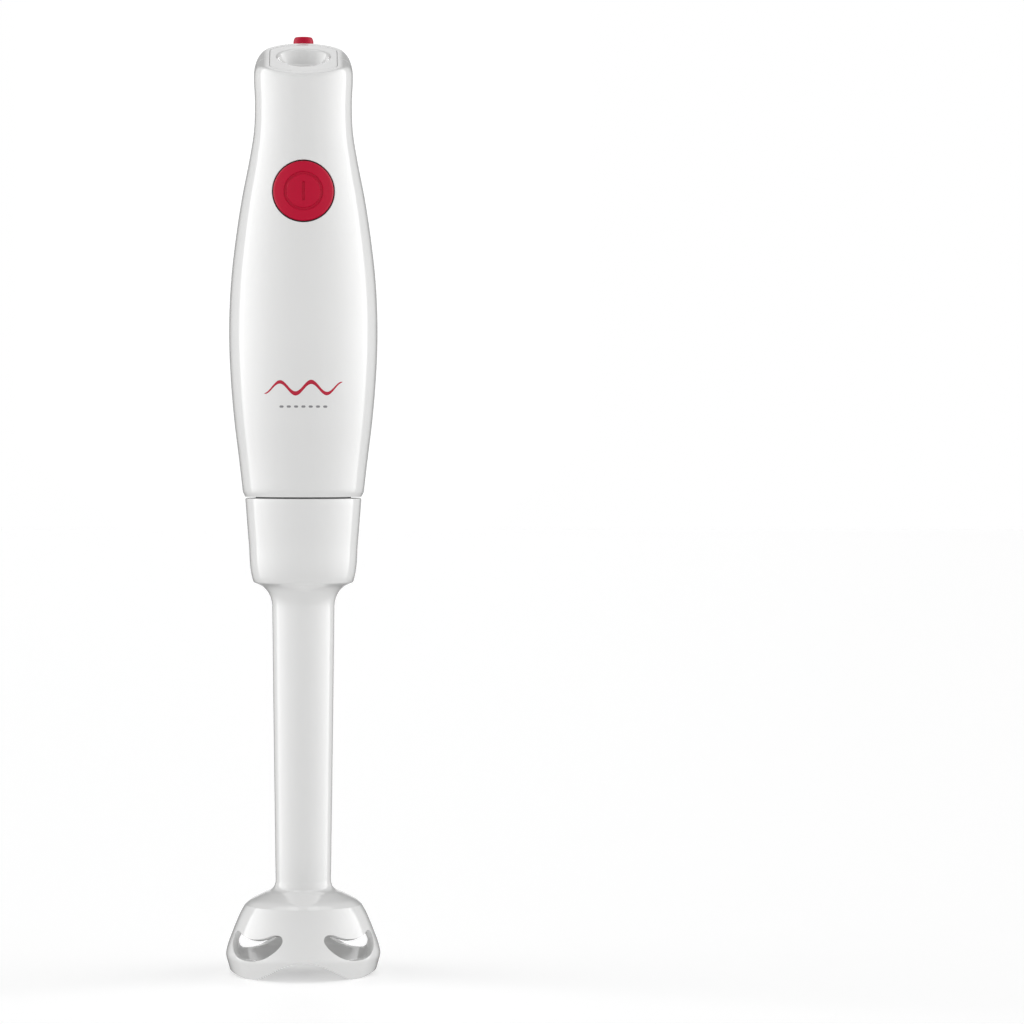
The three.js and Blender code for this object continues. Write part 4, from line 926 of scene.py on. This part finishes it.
# Half of one slot in the guard: lateral place and height in millimetres, from its low middle.
SLOT_HALF = ((0, 7.6), (4.2, 7.9), (7.6, 8.9), (11.1, 11.1), (13.1, 13.4), (13.9, 15.8),
             (12.7, 18.0), (10.2, 18.4), (6.7, 17.2), (3.4, 16.4), (0, 16.2))
SLOT_ANGLES = (45, 135, 225, 315)
SQUEEZE_TO = 26 * MM  # the arches fade out up the guard, to this height


def held(line):
    """A line with one more point close to each of its ends, which keeps a corner there crisp."""
    near = line[[0, -1]] + 0.2 * (line[[1, -2]] - line[[0, -1]])
    return np.concatenate([line[:1], near[:1], line[1:-1], near[1:], line[-1:]])


class Foot:
    """The foot's outer surface, worked out from its outline and its arches."""

    def __init__(self):
        self.f = sizes("foot_sizes")
        stretches = [
            held(smooth_line(GUARD_SIDE, 46)), held(smooth_line(SHOULDER, 14)),
            smooth_line(STEM_BEND, 12),
            smooth_line(STEM, 40), smooth_line(COLLAR_BEND, 16), smooth_line(COLLAR, 16),
        ]
        top = FOOT_TOP_Z / MM
        lip = [(23.45, top - 0.1), (23.3, top)]
        self.outline = np.concatenate([*stretches, lip]) * MM

    def arch(self, angle):
        """Height of the guard's lower edge: a parabola between the lobes, by how far the place is
        from the middle of its arch, to a power that makes the lobes fuller."""
        f, reach = self.f, GUARD_SIDE[0][0] * MM
        x, y = reach * np.cos(angle), reach * np.sin(angle)
        front = np.abs(y) > np.abs(x)
        off = (np.minimum(np.abs(x), np.abs(y)) / reach) ** 2
        middle = f.side_arch + np.where(front, (f.front_arch - f.side_arch) * (1 - off), 0)
        return np.maximum(middle * np.clip(1 - 2 * off, 0, 1) ** 1.4 - f.lobe_flat, 0)

    def surface(self, angle, height):
        """(r cos a, r sin a, z), where z is squeezed upwards from the arch and r is the
        outline's at z."""
        squeeze = np.clip(1 - height / SQUEEZE_TO, 0, 1)
        z = height + self.arch(angle) * squeeze
        r = np.interp(z, self.outline[:, 1], self.outline[:, 0])
        return np.stack([r * np.cos(angle), r * np.sin(angle), z], axis=-1)

    def slot(self, middle):
        """The hole of one slot, cut square to the guard's radius at its middle. The way round
        the window's edge goes evenly along the slot's outline, quarter by quarter."""
        half = np.array(SLOT_HALF) * MM
        loop = np.concatenate([half, half[-2:0:-1] * [-1, 1], half[:1]])
        line = smooth_loop(loop, 800)
        steps = np.linalg.norm(np.diff(line, axis=0, append=line[:1]), axis=1)
        along = np.concatenate([[0], np.cumsum(steps)])
        line = np.concatenate([line, line[:1]])
        # The line starts at its low middle and goes round by the right end.
        right, top = np.argmax(line[:, 0]), nearest(along, 0.5 * along[-1])
        quarter = along[right], along[top] - along[right]
        corner = along[right] - 0.67 * quarter[0], along[right] + 0.33 * quarter[1]
        first = np.array([0, corner[0], along[right], corner[1], along[top]])
        places = np.concatenate([first, along[-1] - first[-2::-1]])

        def hole(s, t):
            round_edge = np.where(
                np.abs(t) > np.abs(s), np.where(t < 0, s, 4 - s), np.where(s > 0, 2 + t, 6 - t)
            ) % 8
            at = np.interp(round_edge, np.arange(9), places)
            u, z = np.interp(at, along, line[:, 0]), np.interp(at, along, line[:, 1])
            r = np.interp(z, self.outline[:, 1], self.outline[:, 0])
            angle = middle + np.arcsin(u / r)
            arch = self.arch(angle)
            return angle, (z - arch) / (1 - arch / SQUEEZE_TO)

        return hole


def smooth_loop(points, count):
    """A smooth closed line: a smooth line through the loop wound more than once, of which the
    middle turn is kept."""
    points = np.asarray(points)[:-1]
    n = len(points)
    wound = np.concatenate([points, points, points, points[:1]])
    line = smooth_line(wound, 3 * count + 1)
    chord = np.linalg.norm(np.diff(wound, axis=0), axis=1)
    share = chord[:n].sum() / chord.sum()
    first = int(round(share * 3 * count))
    return line[first : first + count]


class BLENDER_OT_foot(bpy.types.Operator):
    """Make the foot's one moulding: guard, stem and collar are one outline turned round the axis,
    with arches at the floor, four slots, and the boss and ribs inside"""

    bl_idname = "immersion_blender.foot"
    bl_label = "Foot"

    def execute(self, context):
        foot = Foot()
        wall = foot.f.wall
        columns = 288
        across = np.linspace(0, 2 * np.pi, columns, endpoint=False)
        low, high = 4.4 * MM, 21.5 * MM
        outline = foot.outline
        upper = outline[outline[:, 1] > high + 0.6 * MM, 1]
        along = np.concatenate([
            np.linspace(0, low, 8), np.linspace(low, high, 25)[1:], upper,
        ])
        half = 25
        windows = []
        for degrees in SLOT_ANGLES:
            at = round(degrees * columns / 360)
            windows.append((at - half, at + half, nearest(along, low), nearest(along, high),
                            foot.slot(np.radians(degrees))))
        parts, _ = pierced(foot.surface, across, along, windows, True, rows=12)
        add_piece("foot_skin", parts, "foot", "white_gloss", ["foot_housing"], wall,
                  foot.f.slot_edge)
        self.inside()
        return {"FINISHED"}

    @staticmethod
    def inside():
        """The boss that carries the lower bush, with its ribs to the guard."""
        boss, bore = 9.3 * MM, 6.3 * MM
        low, high = 17 * MM, 30 * MM
        edge = 0.5 * MM
        profile = np.concatenate([
            [(bore, high), (bore, low + edge)],
            arc((bore + edge, low + edge), edge, 180, 270),
            arc((boss - edge, low + edge), edge, 270, 360), [(boss, high), (bore, high)],
        ])
        parts = [revolved(profile, 96)]
        for angle in np.radians([0, 90, 180, 270]):
            parts.append(rib(angle, boss - 1 * MM, 23 * MM, 18.5 * MM, 24.5 * MM, 1.6 * MM))
        add_piece("guard_boss", parts, "foot", "white_gloss")


def rib(angle, inner, outer, low, high, thick):
    """A rib that stands out along one radius: its section is a rounded rectangle and its lower
    edge rises outwards, as (distance out, to the side, height)."""
    turn = np.linspace(0, 2 * np.pi, 24, endpoint=False)
    side = 0.5 * thick * np.clip(1.6 * np.cos(turn), -1, 1)
    up = np.clip(1.3 * np.sin(turn), -1, 1)
    out = np.linspace(inner, outer, 9)[:, None]
    share = (out - inner) / (outer - inner)
    foot_z = low + 0.35 * (high - low) * share**2
    z = 0.5 * (foot_z + high) + 0.5 * (high - foot_z) * up
    x = out + 0 * turn
    y = side + 0 * out
    ends = np.stack([x, y, z], axis=-1)
    first, last = ends[:1] * [1, 0, 0] + [0, 0, 0.5 * (low + high)], ends[-1:]
    last = last * [1, 0, 0] + [0, 0, 0.5 * (foot_z[-1, 0] + high)]
    points = np.concatenate([first, ends, last])
    c, s = np.cos(angle), np.sin(angle)
    turned = np.stack([
        c * points[..., 0] - s * points[..., 1], s * points[..., 0] + c * points[..., 1],
        points[..., 2],
    ], axis=-1)
    return sheet_of(turned)


# ---- Print ------------------------------------------------------------------------------------


INK = 0.03 * MM  # thickness of the printed strips


class BLENDER_OT_print(bpy.types.Operator):
    """Make the plain decoration printed on the grip: a crimson wave over a row of grey dashes,
    as thin strips of the grip's own surface"""

    bl_idname = "immersion_blender.print"
    bl_label = "Print"

    def execute(self, context):
        grip = Grip()
        s = np.linspace(-1, 1, 121)
        width = 0.85 * MM * np.sqrt(np.clip(1 - s**2, 0, 1)) + 0.02 * MM
        wave = 237 * MM + 2.3 * MM * np.sin(2.5 * np.pi * s)
        strip = self.strip(grip, 15.6 * MM * s, wave, width)
        add_piece("printed_wave", [strip], "motor_unit", "crimson_plastic", wall=INK,
                  look="print_crimson")
        parts = []
        for i in range(-3, 4):
            s = np.linspace(-1, 1, 17)
            width = 0.42 * MM * (1 - s**6) + 0.02 * MM
            parts.append(self.strip(grip, (2.9 * i + 0.85 * s) * MM, 229.5 * MM + 0 * s, width))
        add_piece("printed_dashes", parts, "motor_unit", "grey_plastic", wall=INK,
                  look="print_grey")
        return {"FINISHED"}

    @staticmethod
    def strip(grip, x, z, half_width):
        """A strip along a line on the grip's front, standing off it by the ink's thickness."""
        across = np.linspace(-1, 1, 5)[:, None]
        height = z + across * half_width
        r = grip.radius(height) + 0.02 * MM
        side = x + 0 * height
        points = np.stack([side, -np.sqrt(r**2 - side**2), height], axis=-1)
        return sheet_of(points, closed=False)


# ---- Blade ------------------------------------------------------------------------------------


GROUND_EDGE = 0.1 * MM  # rounding of the blade's edges


class BLENDER_OT_blade(bpy.types.Operator):
    """Make the two-winged blade. A wing's front and rear edges are quadratic curves of the
    distance out, its section is a plate whose front edge is ground to a thin line, and the flat
    middle turns into the pitched wings by a smooth step"""

    bl_idname = "immersion_blender.blade"
    bl_label = "Blade"

    def execute(self, context):
        b = sizes("blade_sizes")
        out = b.reach * np.sin(np.linspace(-0.5, 0.5, 97) * np.pi)[:, None]
        share = np.abs(out) / b.reach
        way = np.where(out < 0, -1, 1)
        # One section, and the same half a turn on: the wings' front edges point opposite ways.
        loop = np.array([(1, -0.1), (1, 0.1), (0.62, 1), (0, 1), (-0.94, 1), (-1, 0.85),
                         (-1, -0.85), (-0.94, -1), (0, -1), (0.62, -1)])
        other = loop[(6 - np.arange(len(loop))) % len(loop)] * [-1, 1]
        across, up = (np.where(way < 0, loop[:, i], other[:, i]) for i in (0, 1))
        rounding = np.sqrt(1 - share**3)
        front, rear = 1 + 0.18 * share, 1 - 0.3 * share
        ahead = 0.5 * b.width * rounding * np.where(across * way < 0, front, rear) * across
        wide = np.clip(share / 0.3 - 0.9, 0, 1)
        tilt = b.pitch * wide**2 * (3 - 2 * wide)
        thick = 0.5 * b.thick * up * np.sqrt(1 - share**12)
        y = ahead * np.cos(tilt) - way * thick * np.sin(tilt)
        z = way * ahead * np.sin(tilt) + thick * np.cos(tilt)
        x = out + 0 * y
        c, s = np.cos(b.turn), np.sin(b.turn)
        points = np.stack([c * x - s * y, s * x + c * y, BLADE_Z + z], axis=-1)
        add_piece("blade_skin", [sheet_of(points)], "blade_shaft", "steel", ["blade"], None,
                  GROUND_EDGE)
        return {"FINISHED"}


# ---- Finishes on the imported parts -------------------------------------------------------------


class BLENDER_OT_finishes(bpy.types.Operator):
    """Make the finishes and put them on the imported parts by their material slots"""

    bl_idname = "immersion_blender.finishes"
    bl_label = "Finishes"

    def execute(self, context):
        make_finishes()
        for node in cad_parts.values():
            for place in node.material_slots:
                place.material = finish(place.material.name.split(".")[0])
        return {"FINISHED"}


# ---- Studio -----------------------------------------------------------------------------------


# Light round the blender, from the front (0) to the back (1): place, brightness.
ROUND_LIGHT = ((0.0, 0.3), (0.1, 0.31), (0.3, 0.5), (0.48, 0.9), (0.645, 1.15), (0.665, 0.25),
               (0.82, 0.22), (0.86, 0.07), (0.93, 0.07), (0.96, 0.4), (1.0, 0.5))
# Light by height, from the horizon (0) to overhead (1): place, share.
HIGH_LIGHT = ((0.0, 0.25), (0.45, 0.25), (0.75, 0.16), (0.955, 0.12), (0.965, 0.2), (1.0, 0.2))
LIGHT_STRENGTH = 9.1
BELOW_FADE = 2.2  # how fast the light fades under the horizon, for the undersides' reflections


def ramp_node(tree, factor, stops):
    """A smooth ramp of greys through stops; returns its colour."""
    node = tree.nodes.new("ShaderNodeValToRGB")
    ramp = node.color_ramp
    for place, grey in stops[1:-1]:
        ramp.elements.new(place)
    for element, (place, grey) in zip(ramp.elements, stops):
        element.position, element.color = place, (grey, grey, grey, 1)
    tree.links.new(factor, node.inputs["Fac"])
    return node.outputs["Color"]


class BLENDER_OT_studio(bpy.types.Operator):
    """Make the studio: a pale floor, a white surround with two wide softboxes at the sides, and
    the camera"""

    bl_idname = "immersion_blender.studio"
    bl_label = "Studio"

    def execute(self, context):
        scene = context.scene
        self.floor()
        scene.view_settings.view_transform = "Standard"
        scene.world = self.surround()
        lens = bpy.data.cameras.new("camera")
        lens.lens, lens.sensor_width = 133.8, 36.0
        lens.clip_end = 50
        camera = bpy.data.objects.new("camera", lens)
        camera.location = (0.0, -1.545, 0.2146)
        camera.rotation_euler = (
            math.radians(90 - 1.02), math.radians(-0.065), math.radians(-3.137)
        )
        scene.collection.objects.link(camera)
        scene.camera = camera
        return {"FINISHED"}

    @staticmethod
    def surround():
        """White where it is seen; as light, two wide softboxes at the sides that fade to a grey
        gap in front and end at an edge behind, dimmer overhead."""
        world = bpy.data.worlds.new("surround")
        world.use_nodes = True
        tree = world.node_tree
        shade = tree.nodes["Background"]
        place = tree.nodes.new("ShaderNodeTexCoord")
        part = tree.nodes.new("ShaderNodeSeparateXYZ")
        tree.links.new(place.outputs["Generated"], part.inputs[0])
        x, y, z = part.outputs
        turn = math_node(tree, "ARCTAN2", math_node(tree, "ABSOLUTE", x),
                         math_node(tree, "MULTIPLY", y, -1.0))
        round_light = ramp_node(tree, math_node(tree, "DIVIDE", turn, math.pi), ROUND_LIGHT)
        high_light = ramp_node(tree, math_node(tree, "ABSOLUTE", z), HIGH_LIGHT)
        light = math_node(tree, "MULTIPLY", round_light, high_light)
        light = math_node(tree, "MULTIPLY", light, LIGHT_STRENGTH)
        below = math_node(tree, "MULTIPLY_ADD", z, BELOW_FADE, clamp=True)
        below.node.inputs[2].default_value = 1.0
        light = math_node(tree, "MULTIPLY", light, below)
        rays = tree.nodes.new("ShaderNodeLightPath")
        seen = math_node(tree, "MAXIMUM", light, rays.outputs["Is Camera Ray"])
        tree.links.new(seen, shade.inputs["Strength"])
        shade.inputs["Color"].default_value = (1, 1, 1, 1)
        return world

    @staticmethod
    def floor():
        """A wide level sheet."""
        x, y = np.meshgrid(np.linspace(-8, 8, 9), np.linspace(-8, 8, 9))
        points = np.stack([x, y, 0 * x], axis=-1)
        flat, quads = sheet_of(points, closed=False)
        mesh = bpy.data.meshes.new("studio_floor")
        mesh.from_pydata(flat.tolist(), [], quads.tolist())
        mesh.shade_smooth()
        floor = bpy.data.objects.new("studio_floor", mesh)
        bpy.context.scene.collection.objects.link(floor)
        mesh.materials.append(finish("studio_floor"))
        floor.visible_glossy = False


# ---- Add-on -----------------------------------------------------------------------------------


OPERATORS = (
    BLENDER_OT_finishes, BLENDER_OT_shells, BLENDER_OT_cap, BLENDER_OT_gland, BLENDER_OT_button,
    BLENDER_OT_foot, BLENDER_OT_blade, BLENDER_OT_print, BLENDER_OT_studio,
)


class BLENDER_PT_parts(bpy.types.Panel):
    """Lists the steps that build the blender, and its sizes"""

    bl_idname = "BLENDER_PT_parts"
    bl_label = "Immersion blender"
    bl_space_type = "VIEW_3D"
    bl_region_type = "UI"
    bl_category = "Blender"

    def draw(self, context):
        layout = self.layout
        for operator in OPERATORS:
            layout.operator(operator.bl_idname)
        for name, group in SETTINGS.items():
            box = layout.box()
            for label in group.__annotations__:
                box.prop(getattr(context.scene, name), label)


CLASSES = (*SETTINGS.values(), *OPERATORS, BLENDER_PT_parts)


def register():
    for one in CLASSES:
        bpy.utils.register_class(one)
    for name, group in SETTINGS.items():
        setattr(bpy.types.Scene, name, bpy.props.PointerProperty(type=group))


def unregister():
    for name in SETTINGS:
        delattr(bpy.types.Scene, name)
    for one in reversed(CLASSES):
        bpy.utils.unregister_class(one)


def main():
    """Builds everything in order."""
    register()
    for step in ("finishes", "shells", "cap", "gland", "button", "foot", "blade", "print",
                 "studio"):
        getattr(bpy.ops.immersion_blender, step)()


if __name__ == "__main__":
    main()
